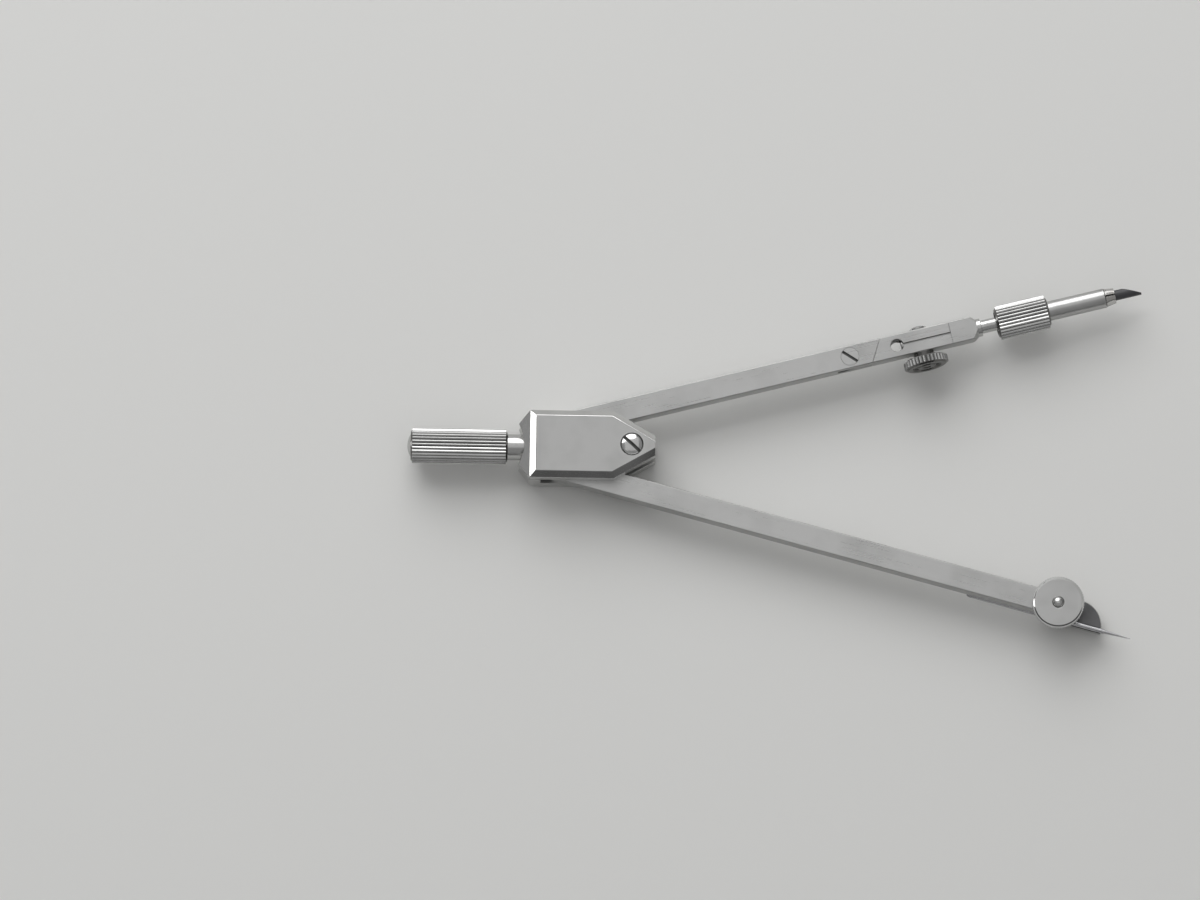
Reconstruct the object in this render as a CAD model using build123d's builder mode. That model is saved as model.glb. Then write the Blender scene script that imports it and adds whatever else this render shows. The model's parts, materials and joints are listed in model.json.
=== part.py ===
from build123d import *
import os
from math import acos, cos, pi, radians, sin, sqrt

# Drafting compass, 145 mm closed: a fluted handle on a two-cheek head, a needle leg and a pencil leg whose
# toothed ends mesh inside the head, a knee joint with a split socket, and a 2 mm lead insert with a clutch.
# Millimetres. X runs along the handle towards the points, Y across the legs' plane, Z out of the front cheek.
# The origin is on the rear cheek's face, midway between the two leg pivots. The legs stand 14.6 degrees open.

# Fits and clearances
PRESS_FIT = 0.02        # radial, pin or spigot driven into its hole
RUN_FIT = 0.04          # radial, shaft that turns or slides in its hole
SIDE_PLAY = 0.03        # between flat faces that slide past each other
THREAD_FIT = 0.03       # radial, plain cylinder that stands for a thread in its hole

# Legs
LEG_W = 4.5
LEG_T = 3.4
LEG_EDGE = 0.15         # broken edge along the legs
PIVOT_Y = 4.2           # each leg's pivot is this far off the handle's axis
OPENING = 14.6          # degrees from each leg to the handle's axis
PIVOT_R = 1.2
PIVOT_SEAT = 1.8        # depth of a pivot pin in each cheek
NEEDLE_REACH = 99.9     # pivot to needle stud
KNEE_REACH = 57.7       # pivot to knee screw

# Toothed sectors on the hidden ends of the legs
TEETH = 24              # teeth on the full circle
PRESSURE_ANGLE = 20.0
BACKLASH = 0.03         # taken off each flank at the pitch circle
SECTOR_FROM = 64.0      # degrees from the leg's direction towards the other leg
SECTOR_TO = 154.0
MODULE = 2 * PIVOT_Y / TEETH
PITCH_R = PIVOT_Y
BASE_R = PITCH_R * cos(radians(PRESSURE_ANGLE))
TIP_R = PITCH_R + MODULE
ROOT_R = PITCH_R - 1.25 * MODULE
TOOTH_STEP = 360 / TEETH

# Head
HEAD_MARGIN = 0.2       # cheek left beyond a leg's outer edge at the pivot
HEAD_W = 2 * (PIVOT_Y + LEG_W / 2 + HEAD_MARGIN)
WEB_WALL = 0.9          # what the tooth pocket leaves of the web
POCKET_GAP = 0.25       # between the tooth tips and the pocket's wall
HEAD_BACK = TIP_R + POCKET_GAP + WEB_WALL  # shoulder of the cheeks, behind the pivots
HEAD_NOSE = 18.6        # flat nose, ahead of the pivots
TAPER_FROM = 10.55      # where the cheeks start to narrow
NOSE_W = 3.9
CHEEK_T = 3.28
CHEEK_BEVEL = 1.2
CHEEK_EDGE = 0.3
LEG_SPACE = LEG_T + 2 * SIDE_PLAY
MID_Z = CHEEK_T + LEG_SPACE / 2
FRONT_Z = CHEEK_T + LEG_SPACE
HEAD_T = FRONT_Z + CHEEK_T

# Head screw and its spacer
SCREW_X = 14.0
SCREW_HEAD_R = 2.02
SCREW_RECESS = 1.1
SCREW_CROWN = 0.35      # height of the coned top
SCREW_SHANK_R = 1.2
SCREW_SEAT = 2.2        # thread length in the rear cheek
SCREW_SLOT_W = 0.64
SCREW_SLOT_DEPTH = 0.7
SCREW_SLOT_TURN = -42.0
COUNTERBORE_GAP = 0.13
SPACER_GAP = 0.05       # left between the spacer and each closed leg
SPACER_R = PIVOT_Y - LEG_W / 2 - SPACER_GAP

# Yoke between the handle and the cheeks
YOKE_LENGTH = 2.2
YOKE_FACE_W = 8.0
YOKE_FACE_T = 6.0
DISH_SLOPE = 0.69       # depth of the turned dish in the yoke's end, per unit of radius
NECK_GAP = 0.1          # radial, between the neck and the foot of the dish
WEB_LENGTH = 2.2        # how far the web reaches between the cheeks
POCKET_W = 6.6

# Handle
NECK_R = 2.5
NECK_LENGTH = 2.1       # neck in view, from the yoke's end to the grip
SPIGOT_R = 1.7
SPIGOT_LENGTH = 1.2
DISH_R = sqrt(YOKE_FACE_W ** 2 + YOKE_FACE_T ** 2) / 2
DISH_DEPTH = (DISH_R - NECK_R - NECK_GAP) * DISH_SLOPE
GRIP_R = 3.375
GRIP_LENGTH = 18.7
GRIP_FLUTES = 30
GRIP_CHAMFER = 0.3
SPINDLE_R = 2.2
SPINDLE_CROWN = 0.65
FLUTE_DEPTH = 0.22

# Needle end
STUD_R = 1.0
STUD_CROWN = 0.5
STUD_HEAD_R = 2.3
STUD_HEAD_T = 0.8
STUD_SLOT_W = 0.5
STUD_SLOT_DEPTH = 0.4
KNOB_R = 5.05
KNOB_T = 1.8
KNOB_CHAMFER = 0.25
KNOB_FLUTES = 60
KNOB_FLUTE_DEPTH = 0.12
KNOB_SINK = 0.2         # widening of the bore round the stud's crown
KNOB_WASHER_R = 3.0
KNOB_WASHER_T = 0.25
NEEDLE_R = 0.475
NEEDLE_POINT_R = 0.34
NEEDLE_TAIL_R = 0.28
NEEDLE_TIP_R = 0.05
NEEDLE_OFF = 2.05       # needle axis, outwards from the leg's centre line
NEEDLE_GAP = 0.1        # between the needle and the back of the leg
HOLDER_T = 1.4
HOLDER_BOSS_R = 2.6
HOLDER_BOSS_T = NEEDLE_R + NEEDLE_GAP
HOLDER_END_R = 2.8
HOLDER_ARC_R = 5.2
HOLDER_ARC_X = 4.06     # centre of the holder's quarter-round end, ahead of the stud
HOLDER_EDGE = 0.2
HOLDER_LIP = 0.15       # metal left outside the needle's groove
NEEDLE_TAIL = 17.6      # behind the stud
NEEDLE_OUT = 0.54       # full-thickness needle beyond the holder
NEEDLE_SHOULDER = HOLDER_ARC_X + HOLDER_ARC_R + NEEDLE_OUT
NEEDLE_NECK_L = 0.8     # thin parallel stretch before the cone
NEEDLE_CONE_L = 4.5
NEEDLE_TIP = NEEDLE_SHOULDER + NEEDLE_NECK_L + NEEDLE_CONE_L

# Knee joint
TONGUE_T = 1.36
KNEE_STOP_R = 4.5       # the stop faces are tangent to this circle at the leg's inner edge
KNEE_GAP = 0.06
TONGUE_INSET = 0.1      # tongue inside the leg's edges
TONGUE_END_R = LEG_W / 2 - TONGUE_INSET
KNEE_SLOT_ROOM = 0.75
KNEE_SLOT_BACK = TONGUE_END_R + KNEE_SLOT_ROOM
KNEE_SHANK_R = 1.0
KNEE_HEAD_R = 1.7
KNEE_HEAD_T = 0.6
KNEE_SLOT_W = 0.45
KNEE_SLOT_DEPTH = 0.4
KNEE_SLOT_TURN = -46.0

# Split socket, distances from the knee screw
SOCKET_END = 20.0
SPLIT_LENGTH = 10.65
SPLIT_HOLE_X = SOCKET_END - SPLIT_LENGTH
SPLIT_HOLE_R = 1.25
SPLIT_W = 0.3
SHANK_R = 1.22
SHANK_LENGTH = 9.8
SHANK_START = SOCKET_END - SHANK_LENGTH
CLAMP_BACK = 5.9        # clamp screw behind the socket's end
CLAMP_X = SOCKET_END - CLAMP_BACK
CLAMP_R = 0.7
CLAMP_HEAD_R = 1.7
CLAMP_HEAD_T = 0.6
CLAMP_HEAD_EDGE = 0.25
WHEEL_R = 4.35
WHEEL_T = 1.85
WHEEL_HUB_R = 2.0
WHEEL_HUB_T = 1.1
WHEEL_FLUTES = 34
WHEEL_FLUTE_DEPTH = 0.25
WHEEL_CHAMFER = 0.3
WHEEL_DISH_R = 2.9
WHEEL_DISH_DEPTH = 0.35
CLAMP_END = 0.15        # how far the screw's end stays inside the wheel

# Lead insert, distances from the knee screw
BLOCK_LENGTH = 5.27
BLOCK_START = SOCKET_END + SIDE_PLAY
BLOCK_END = BLOCK_START + BLOCK_LENGTH
BLOCK_CROWN = 1.3       # length of the block's turned cone
COLLAR_R = 1.75
COLLAR_T = 0.8
COLLAR_END = BLOCK_END + COLLAR_T
SHAFT_R = 1.3
SHAFT_LENGTH = 3.0      # shaft in view between the collar and the nut
NUT_START = COLLAR_END + SHAFT_LENGTH
NUT_LENGTH = 10.4
NUT_END = NUT_START + NUT_LENGTH
NUT_R = 3.3
NUT_FLUTES = 28
NUT_CHAMFER = 0.35
NUT_SEAT = 3.0          # length of sleeve held in the nut
THREAD_SINK = 0.3       # thread inside the nut's ends
THREAD_ROOM = 1.0       # free thread length ahead of the sleeve
THREAD_R = 2.2
THREAD_START = NUT_START + THREAD_SINK
THREAD_END = NUT_END - NUT_SEAT - THREAD_ROOM
SLEEVE_R = 1.9
SLEEVE_LENGTH = 11.2    # sleeve in view
SLEEVE_END = NUT_END + SLEEVE_LENGTH
MOUTH_CHAMFER = 0.25
COLLET_R = 1.5
COLLET_SEAT = 3.0       # length of collet guided in the threaded spigot
COLLET_START = THREAD_END - COLLET_SEAT
COLLET_HEAD_R = 1.78
COLLET_TIP_R = 1.45
COLLET_GAP = 0.1        # along the axis, between the collet's cone and the sleeve's mouth
COLLET_OUT = 2.0
COLLET_END = SLEEVE_END + COLLET_OUT
COLLET_SLIT_W = 0.28
COLLET_SLIT_LENGTH = 12.7
LEAD_R = 1.0
LEAD_LENGTH = 22.8
LEAD_OUT = 5.1
LEAD_END = COLLET_END + LEAD_OUT
LEAD_START = LEAD_END - LEAD_LENGTH
LEAD_WEDGE = 3.6
LEAD_TIP_T = 0.25
LEAD_ROOM = 4.5         # how far the lead can be pushed back

NEEDLE_LEG = Plane(
    origin=(0, -PIVOT_Y, MID_Z),
    x_dir=(cos(radians(OPENING)), -sin(radians(OPENING)), 0),
    z_dir=(0, 0, 1),
)
PENCIL_LEG = Plane(
    origin=(0, PIVOT_Y, MID_Z),
    x_dir=(cos(radians(OPENING)), sin(radians(OPENING)), 0),
    z_dir=(0, 0, 1),
)
STUD = Plane(NEEDLE_LEG.from_local_coords((NEEDLE_REACH, 0, 0)), NEEDLE_LEG.x_dir, NEEDLE_LEG.z_dir)
KNEE = Plane(PENCIL_LEG.from_local_coords((KNEE_REACH, 0, 0)), PENCIL_LEG.x_dir, PENCIL_LEG.z_dir)
HANDLE = Plane((-HEAD_BACK - YOKE_LENGTH, 0, MID_Z), (-1, 0, 0), (0, 0, 1))
PIVOTS = ((0, PIVOT_Y), (0, -PIVOT_Y))

os.makedirs("parts", exist_ok=True)


def facing(plane, normal, x_dir, along=0.0, across=0.0, height=0.0):
    """Plane at a place given in another plane's axes, facing a chosen direction."""
    return Plane(origin=plane.from_local_coords((along, across, height)), x_dir=x_dir, z_dir=normal)


def along_axis(plane, along):
    """Plane square to another plane's X axis, with its own X across and its own Y up."""
    return facing(plane, plane.x_dir, plane.y_dir, along=along)


def x_axis(plane):
    """The X axis of a plane."""
    return Axis(plane.origin, plane.x_dir)


def z_axis(plane):
    """The Z axis of a plane."""
    return Axis(plane.origin, plane.z_dir)


def half_section(*stations):
    """Closed half section through (position, radius) stations, drawn on the turning axis."""
    with BuildLine() as section:
        Polyline((stations[0][0], 0), *stations, (stations[-1][0], 0), close=True)
    make_face(section.edges())


def crowned(start, radius, rise):
    """Stations of a crown coned at 45 degrees: its rim and its flat top."""
    return (start, radius), (start + rise, radius - rise)


def round_holes(plane, radius, depth, *centres):
    """Round holes cut from a plane, along its normal for a positive depth."""
    with BuildSketch(plane) as mouths:
        with Locations(*centres):
            Circle(radius)
    extrude(mouths.sketch, amount=depth, mode=Mode.SUBTRACT)


def frustum(wide, narrow, length):
    """Trapezoid along a plane's X axis, wide at the start."""
    with BuildLine() as outline:
        Polyline((0, wide / 2), (length, narrow / 2), (length, -narrow / 2), (0, -wide / 2), close=True)
    make_face(outline.edges())


def fluted_barrel(plane, start, length, radius, flutes, depth, edge):
    """Barrel along a plane's X axis, V-fluted from end to end, that narrows over an edge at both ends."""
    tip = radius - edge
    sections = []
    for along, rim in ((start, tip), (start + edge, radius), (start + length - edge, radius), (start + length, tip)):
        valley = rim * (1 - depth / radius)
        corners = []
        for half_step in range(2 * flutes):
            turn = pi * half_step / flutes
            reach = valley if half_step % 2 else rim
            corners.append((reach * cos(turn), reach * sin(turn)))
        with BuildSketch(along_axis(plane, along)) as section:
            Polygon(*corners, align=None)
        sections.append(section.sketch)
    loft(sections, ruled=True)


def straight_slot(plane, head_radius, width, depth, turn=0.0):
    """Driver slot right across a screw's head, cut down from a plane."""
    with BuildSketch(plane) as mouth:
        Rectangle(2 * head_radius + width, width, rotation=turn)
    extrude(mouth.sketch, amount=-depth, mode=Mode.SUBTRACT)


def cheek_outline():
    """Outline of a head cheek: square at the shoulder, tapering to a flat nose."""
    side = HEAD_W / 2
    nose = NOSE_W / 2
    with BuildLine() as outline:
        Polyline(
            (-HEAD_BACK, side),
            (TAPER_FROM, side),
            (HEAD_NOSE, nose),
            (HEAD_NOSE, -nose),
            (TAPER_FROM, -side),
            (-HEAD_BACK, -side),
            close=True,
        )
    make_face(outline.edges())


def tooth_half_angle(radius):
    """Half the angle that an involute tooth takes up at a radius, in radians."""

    def involute(radius):
        return sqrt((radius / BASE_R) ** 2 - 1) - acos(BASE_R / radius)

    return pi / (2 * TEETH) - BACKLASH / PITCH_R + involute(PITCH_R) - involute(radius)


def tooth(centre):
    """One tooth of a sector, pointing at an angle in degrees from the leg's direction."""

    def at(radius, side, flank_radius=None):
        angle = radians(centre) + side * tooth_half_angle(flank_radius or radius)
        return (radius * cos(angle), radius * sin(angle))

    middle = (BASE_R + TIP_R) / 2
    buried = ROOT_R - MODULE
    with BuildLine() as outline:
        rise = ThreePointArc(at(BASE_R, -1), at(middle, -1), at(TIP_R, -1))
        fall = ThreePointArc(at(TIP_R, 1), at(middle, 1), at(BASE_R, 1))
        Line(rise @ 1, fall @ 0)
        Polyline(fall @ 1, at(buried, 1, BASE_R), at(buried, -1, BASE_R), rise @ 0)
    make_face(outline.edges())


def toothed_leg(length, inner, phase):
    """Face outline of a leg: a bar, a round pivot end and a toothed sector on its inner side.

    inner is 1 where the other leg lies on the +Y side and -1 where it lies on the -Y side.
    phase shifts the teeth by that many steps, so that one leg's teeth fill the other's gaps.
    """
    Circle(LEG_W / 2)
    with Locations((length / 2, 0)):
        Rectangle(length, LEG_W)
    with BuildLine() as sector:
        arc = CenterArc((0, 0), ROOT_R, inner * SECTOR_FROM, inner * (SECTOR_TO - SECTOR_FROM))
        Polyline(arc @ 1, (0, 0), arc @ 0)
    make_face(sector.edges())
    mesh_angle = 90 + OPENING
    for step in range(-TEETH, TEETH):
        centre = mesh_angle + (step + phase) * TOOTH_STEP
        if SECTOR_FROM + TOOTH_STEP / 3 < centre < SECTOR_TO - TOOTH_STEP / 3:
            tooth(inner * centre)


# ------------------------------------------------------------------ head

with BuildPart() as front_plate:
    with BuildSketch(Plane.XY.offset(FRONT_Z)):
        cheek_outline()
    extrude(amount=CHEEK_T)
    face_edges = front_plate.faces().sort_by(Axis.Z)[-1].edges().sort_by(Axis.X)
    chamfer(face_edges[:-1], length=CHEEK_BEVEL)
    round_holes(Plane.XY.offset(FRONT_Z), PIVOT_R + PRESS_FIT, PIVOT_SEAT, *PIVOTS)
    round_holes(Plane.XY.offset(HEAD_T), SCREW_HEAD_R + COUNTERBORE_GAP, -SCREW_RECESS, (SCREW_X, 0))
    round_holes(Plane.XY.offset(FRONT_Z), SCREW_SHANK_R + RUN_FIT, CHEEK_T, (SCREW_X, 0))

with BuildPart() as rear_plate:
    with BuildSketch():
        cheek_outline()
    extrude(amount=CHEEK_T)
    rear_edges = rear_plate.faces().sort_by(Axis.Z)[0].edges().sort_by(Axis.X)
    chamfer(rear_edges[0], length=CHEEK_BEVEL)
    rear_edges = rear_plate.faces().sort_by(Axis.Z)[0].edges().sort_by(Axis.X)
    chamfer(rear_edges[1:], length=CHEEK_EDGE)
    round_holes(Plane.XY.offset(CHEEK_T), PIVOT_R + PRESS_FIT, -PIVOT_SEAT, *PIVOTS)
    round_holes(Plane.XY.offset(CHEEK_T), SCREW_SHANK_R + THREAD_FIT, -SCREW_SEAT, (SCREW_X, 0))

with BuildPart() as head_yoke:
    shoulder_t = HEAD_T - 2 * CHEEK_BEVEL
    with BuildSketch(facing(HANDLE, HANDLE.z_dir, HANDLE.x_dir, along=-YOKE_LENGTH)):
        frustum(HEAD_W, YOKE_FACE_W, YOKE_LENGTH)
    extrude(amount=shoulder_t / 2, both=True)
    with BuildSketch(facing(HANDLE, HANDLE.y_dir, HANDLE.x_dir, along=-YOKE_LENGTH)):
        frustum(shoulder_t, YOKE_FACE_T, YOKE_LENGTH)
    extrude(amount=HEAD_W / 2, both=True, mode=Mode.INTERSECT)
    with BuildSketch(HANDLE):
        half_section((0, DISH_R), (-DISH_DEPTH, NECK_R + NECK_GAP))
    revolve(axis=x_axis(HANDLE), mode=Mode.SUBTRACT)
    with BuildSketch(Plane.XY.offset(CHEEK_T)):
        with Locations((-HEAD_BACK, 0)):
            Rectangle(WEB_LENGTH, HEAD_W, align=(Align.MIN, Align.CENTER))
    extrude(amount=LEG_SPACE)
    with BuildSketch(Plane.XY.offset(CHEEK_T)):
        with Locations((-HEAD_BACK + WEB_WALL, 0)):
            Rectangle(WEB_LENGTH, POCKET_W, align=(Align.MIN, Align.CENTER))
    extrude(amount=LEG_SPACE, mode=Mode.SUBTRACT)
    round_holes(along_axis(HANDLE, -DISH_DEPTH), SPIGOT_R + PRESS_FIT, -SPIGOT_LENGTH, (0, 0))

with BuildPart() as pivot_pins:
    with BuildSketch(Plane.XY.offset(CHEEK_T - PIVOT_SEAT)):
        with Locations(*PIVOTS):
            Circle(PIVOT_R)
    extrude(amount=LEG_SPACE + 2 * PIVOT_SEAT)

with BuildPart() as head_spacer:
    with BuildSketch(Plane.XY.offset(CHEEK_T)):
        with Locations((SCREW_X, 0)):
            Circle(SPACER_R)
            Circle(SCREW_SHANK_R + RUN_FIT, mode=Mode.SUBTRACT)
    extrude(amount=LEG_SPACE)

with BuildPart() as head_screw:
    screw_line = Plane((SCREW_X, 0, 0), x_dir=(0, 0, 1), z_dir=(1, 0, 0))
    screw_seat = HEAD_T - SCREW_RECESS
    with BuildSketch(screw_line):
        half_section(
            (CHEEK_T - SCREW_SEAT, SCREW_SHANK_R),
            (screw_seat, SCREW_SHANK_R),
            (screw_seat, SCREW_HEAD_R),
            *crowned(HEAD_T, SCREW_HEAD_R, SCREW_CROWN),
        )
    revolve(axis=x_axis(screw_line))
    screw_top = Plane((SCREW_X, 0, HEAD_T + SCREW_CROWN))
    straight_slot(screw_top, SCREW_HEAD_R, SCREW_SLOT_W, SCREW_SLOT_DEPTH, SCREW_SLOT_TURN)

# ---------------------------------------------------------------- handle

with BuildPart() as handle_spindle:
    with BuildSketch(HANDLE):
        half_section(
            (-DISH_DEPTH - SPIGOT_LENGTH, SPIGOT_R),
            (-DISH_DEPTH, SPIGOT_R),
            (-DISH_DEPTH, NECK_R),
            (NECK_LENGTH, NECK_R),
            (NECK_LENGTH, SPINDLE_R),
            *crowned(NECK_LENGTH + GRIP_LENGTH, SPINDLE_R, SPINDLE_CROWN),
        )
    revolve(axis=x_axis(HANDLE))

with BuildPart() as handle_grip:
    fluted_barrel(HANDLE, NECK_LENGTH, GRIP_LENGTH, GRIP_R, GRIP_FLUTES, FLUTE_DEPTH, GRIP_CHAMFER)
    round_holes(along_axis(HANDLE, NECK_LENGTH), SPINDLE_R + PRESS_FIT, GRIP_LENGTH, (0, 0))

# ------------------------------------------------------------ needle leg

with BuildPart() as needle_leg:
    with BuildSketch(NEEDLE_LEG.offset(-LEG_T / 2)):
        toothed_leg(NEEDLE_REACH, 1, 0)
        with Locations((NEEDLE_REACH, 0)):
            Circle(LEG_W / 2)
    extrude(amount=LEG_T)
    long_edges = needle_leg.edges().filter_by(x_axis(NEEDLE_LEG)).filter_by(lambda e: e.length > KNEE_REACH / 2)
    chamfer(long_edges, length=LEG_EDGE)
    round_holes(NEEDLE_LEG.offset(-LEG_T / 2), PIVOT_R + RUN_FIT, LEG_T, (0, 0))
    round_holes(STUD.offset(-LEG_T / 2), STUD_R + PRESS_FIT, LEG_T, (0, 0))

knob_seat = LEG_T / 2 + KNOB_WASHER_T + SIDE_PLAY
knob_face = knob_seat + KNOB_T
holder_front = -LEG_T / 2 - SIDE_PLAY
plate_front = holder_front - HOLDER_BOSS_T
holder_back = plate_front - HOLDER_T

with BuildPart() as needle_stud:
    stud_line = facing(STUD, STUD.x_dir, STUD.z_dir)
    stud_seat = holder_back - SIDE_PLAY
    stud_back = stud_seat - STUD_HEAD_T
    with BuildSketch(stud_line):
        half_section(
            (stud_back, STUD_HEAD_R),
            (stud_seat, STUD_HEAD_R),
            (stud_seat, STUD_R),
            *crowned(knob_face, STUD_R, STUD_CROWN),
        )
    revolve(axis=x_axis(stud_line))
    straight_slot(STUD.offset(stud_back), STUD_HEAD_R, STUD_SLOT_W, -STUD_SLOT_DEPTH)

with BuildPart() as knob_washer:
    with BuildSketch(STUD.offset(LEG_T / 2)):
        Circle(KNOB_WASHER_R)
        Circle(STUD_R + RUN_FIT, mode=Mode.SUBTRACT)
    extrude(amount=KNOB_WASHER_T)

with BuildPart() as needle_knob:
    fluted_barrel(stud_line, knob_seat, KNOB_T, KNOB_R, KNOB_FLUTES, KNOB_FLUTE_DEPTH, KNOB_CHAMFER)
    round_holes(STUD.offset(knob_seat), STUD_R + THREAD_FIT, KNOB_T, (0, 0))
    with BuildSketch(stud_line):
        half_section((knob_face - KNOB_SINK, STUD_R), (knob_face, STUD_R + KNOB_SINK))
    revolve(axis=z_axis(STUD), mode=Mode.SUBTRACT)

with BuildPart() as needle_holder:
    outer_edge = NEEDLE_OFF + NEEDLE_R + HOLDER_LIP
    arc_y = HOLDER_END_R - HOLDER_ARC_R
    with BuildSketch(STUD.offset(holder_back)):
        with BuildLine():
            nose = ThreePointArc(
                (HOLDER_ARC_X + HOLDER_ARC_R, arc_y),
                (HOLDER_ARC_X + HOLDER_ARC_R * cos(pi / 4), arc_y + HOLDER_ARC_R * sin(pi / 4)),
                (HOLDER_ARC_X, HOLDER_END_R),
            )
            back = CenterArc((0, 0), HOLDER_END_R, 90, 90)
            Line(nose @ 1, back @ 0)
            Polyline(back @ 1, (-HOLDER_END_R, -outer_edge), (HOLDER_ARC_X + HOLDER_ARC_R, -outer_edge), nose @ 0)
        make_face()
    extrude(amount=HOLDER_T)
    rim = needle_holder.faces().sort_by(Axis.Z)[-1].edges().filter_by(GeomType.CIRCLE)
    chamfer(rim, length=HOLDER_EDGE)
    with BuildSketch(STUD.offset(plate_front)):
        Circle(HOLDER_BOSS_R)
    extrude(amount=HOLDER_BOSS_T)
    round_holes(STUD.offset(holder_back), STUD_R + RUN_FIT, HOLDER_T + HOLDER_BOSS_T, (0, 0))
    with BuildSketch(along_axis(STUD, -NEEDLE_TAIL)):
        with Locations((-NEEDLE_OFF, plate_front)):
            Circle(NEEDLE_R + RUN_FIT)
    extrude(amount=NEEDLE_TAIL + NEEDLE_TIP, mode=Mode.SUBTRACT)

with BuildPart() as needle:
    needle_line = facing(STUD, STUD.z_dir, STUD.x_dir, across=-NEEDLE_OFF, height=plate_front)
    with BuildSketch(needle_line):
        half_section(
            (-NEEDLE_TAIL, NEEDLE_TAIL_R),
            (-NEEDLE_TAIL + NEEDLE_R, NEEDLE_R),
            (NEEDLE_SHOULDER, NEEDLE_R),
            (NEEDLE_SHOULDER, NEEDLE_POINT_R),
            (NEEDLE_SHOULDER + NEEDLE_NECK_L, NEEDLE_POINT_R),
            (NEEDLE_TIP, NEEDLE_TIP_R),
        )
    revolve(axis=x_axis(needle_line))

# ------------------------------------------------------------ pencil leg

# The stop faces run from the inner edge, where they touch the stop circle, outwards and forwards.
stop_inner = sqrt(KNEE_STOP_R ** 2 - (LEG_W / 2) ** 2)
stop_outer = stop_inner + LEG_W * (LEG_W / 2) / stop_inner
stop_shift = KNEE_GAP * KNEE_STOP_R / stop_inner

with BuildPart() as pencil_leg:
    with BuildSketch(PENCIL_LEG.offset(-LEG_T / 2)):
        toothed_leg(KNEE_REACH, -1, 0.5)
        with BuildLine():
            Polyline(
                (KNEE_REACH, LEG_W / 2),
                (KNEE_REACH + stop_outer, LEG_W / 2),
                (KNEE_REACH + stop_inner, -LEG_W / 2),
                (KNEE_REACH, -LEG_W / 2),
                close=True,
            )
        make_face()
    extrude(amount=LEG_T)
    long_edges = pencil_leg.edges().filter_by(x_axis(PENCIL_LEG)).filter_by(lambda e: e.length > KNEE_REACH / 2)
    chamfer(long_edges, length=LEG_EDGE)
    with BuildSketch(KNEE.offset(-TONGUE_T / 2 - SIDE_PLAY)):
        with Locations((-KNEE_SLOT_BACK, 0)):
            Rectangle(KNEE_SLOT_BACK + stop_outer, LEG_W, align=(Align.MIN, Align.CENTER))
    extrude(amount=TONGUE_T + 2 * SIDE_PLAY, mode=Mode.SUBTRACT)
    round_holes(PENCIL_LEG.offset(-LEG_T / 2), PIVOT_R + RUN_FIT, LEG_T, (0, 0))
    round_holes(KNEE.offset(-LEG_T / 2), KNEE_SHANK_R + THREAD_FIT, LEG_T, (0, 0))
    round_holes(KNEE.offset(LEG_T / 2), KNEE_HEAD_R + THREAD_FIT, -KNEE_HEAD_T, (0, 0))

with BuildPart() as knee_screw:
    with BuildSketch(KNEE.offset(-LEG_T / 2)):
        Circle(KNEE_SHANK_R)
    extrude(amount=LEG_T)
    with BuildSketch(KNEE.offset(LEG_T / 2)):
        Circle(KNEE_HEAD_R)
    extrude(amount=-KNEE_HEAD_T)
    straight_slot(KNEE.offset(LEG_T / 2), KNEE_HEAD_R, KNEE_SLOT_W, KNEE_SLOT_DEPTH, KNEE_SLOT_TURN)

# --------------------------------------------------------- split socket

with BuildPart() as pencil_socket:
    with BuildSketch(KNEE.offset(-LEG_T / 2)):
        with BuildLine():
            Polyline(
                (stop_outer + stop_shift, LEG_W / 2),
                (SOCKET_END, LEG_W / 2),
                (SOCKET_END, -LEG_W / 2),
                (stop_inner + stop_shift, -LEG_W / 2),
                close=True,
            )
        make_face()
    extrude(amount=LEG_T)
    long_edges = pencil_socket.edges().filter_by(x_axis(KNEE))
    chamfer(long_edges, length=LEG_EDGE)
    with BuildSketch(KNEE.offset(-TONGUE_T / 2)):
        Circle(TONGUE_END_R)
        with BuildLine():
            Polyline(
                (0, TONGUE_END_R),
                (stop_outer + LEG_W / 2, TONGUE_END_R),
                (stop_outer + LEG_W / 2, -TONGUE_END_R),
                (0, -TONGUE_END_R),
                close=True,
            )
        make_face()
    extrude(amount=TONGUE_T)
    round_holes(KNEE.offset(-TONGUE_T / 2), KNEE_SHANK_R + RUN_FIT, TONGUE_T, (0, 0))
    round_holes(KNEE.offset(-LEG_T / 2), SPLIT_HOLE_R, LEG_T, (SPLIT_HOLE_X, 0))
    with BuildSketch(KNEE.offset(-LEG_T / 2)):
        with Locations((SPLIT_HOLE_X, 0)):
            Rectangle(SOCKET_END - SPLIT_HOLE_X, SPLIT_W, align=(Align.MIN, Align.CENTER))
    extrude(amount=LEG_T, mode=Mode.SUBTRACT)
    round_holes(along_axis(KNEE, SOCKET_END), SHANK_R + RUN_FIT, SPLIT_HOLE_X - SOCKET_END, (0, 0))
    round_holes(facing(KNEE, -KNEE.y_dir, KNEE.x_dir, CLAMP_X, LEG_W / 2), CLAMP_R + THREAD_FIT, LEG_W, (0, 0))

wheel_near = LEG_W / 2 + SIDE_PLAY
wheel_rim = wheel_near + WHEEL_HUB_T
wheel_far = wheel_rim + WHEEL_T
clamp_line = facing(KNEE, KNEE.z_dir, -KNEE.y_dir, along=CLAMP_X)

with BuildPart() as clamp_screw:
    with BuildSketch(clamp_line):
        half_section(
            (-LEG_W / 2 - CLAMP_HEAD_T, CLAMP_HEAD_R - CLAMP_HEAD_EDGE * 2),
            (-LEG_W / 2 - CLAMP_HEAD_T + CLAMP_HEAD_EDGE, CLAMP_HEAD_R),
            (-LEG_W / 2, CLAMP_HEAD_R),
            (-LEG_W / 2, CLAMP_R),
            (wheel_far - CLAMP_END, CLAMP_R),
        )
    revolve(axis=x_axis(clamp_line))

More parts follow.
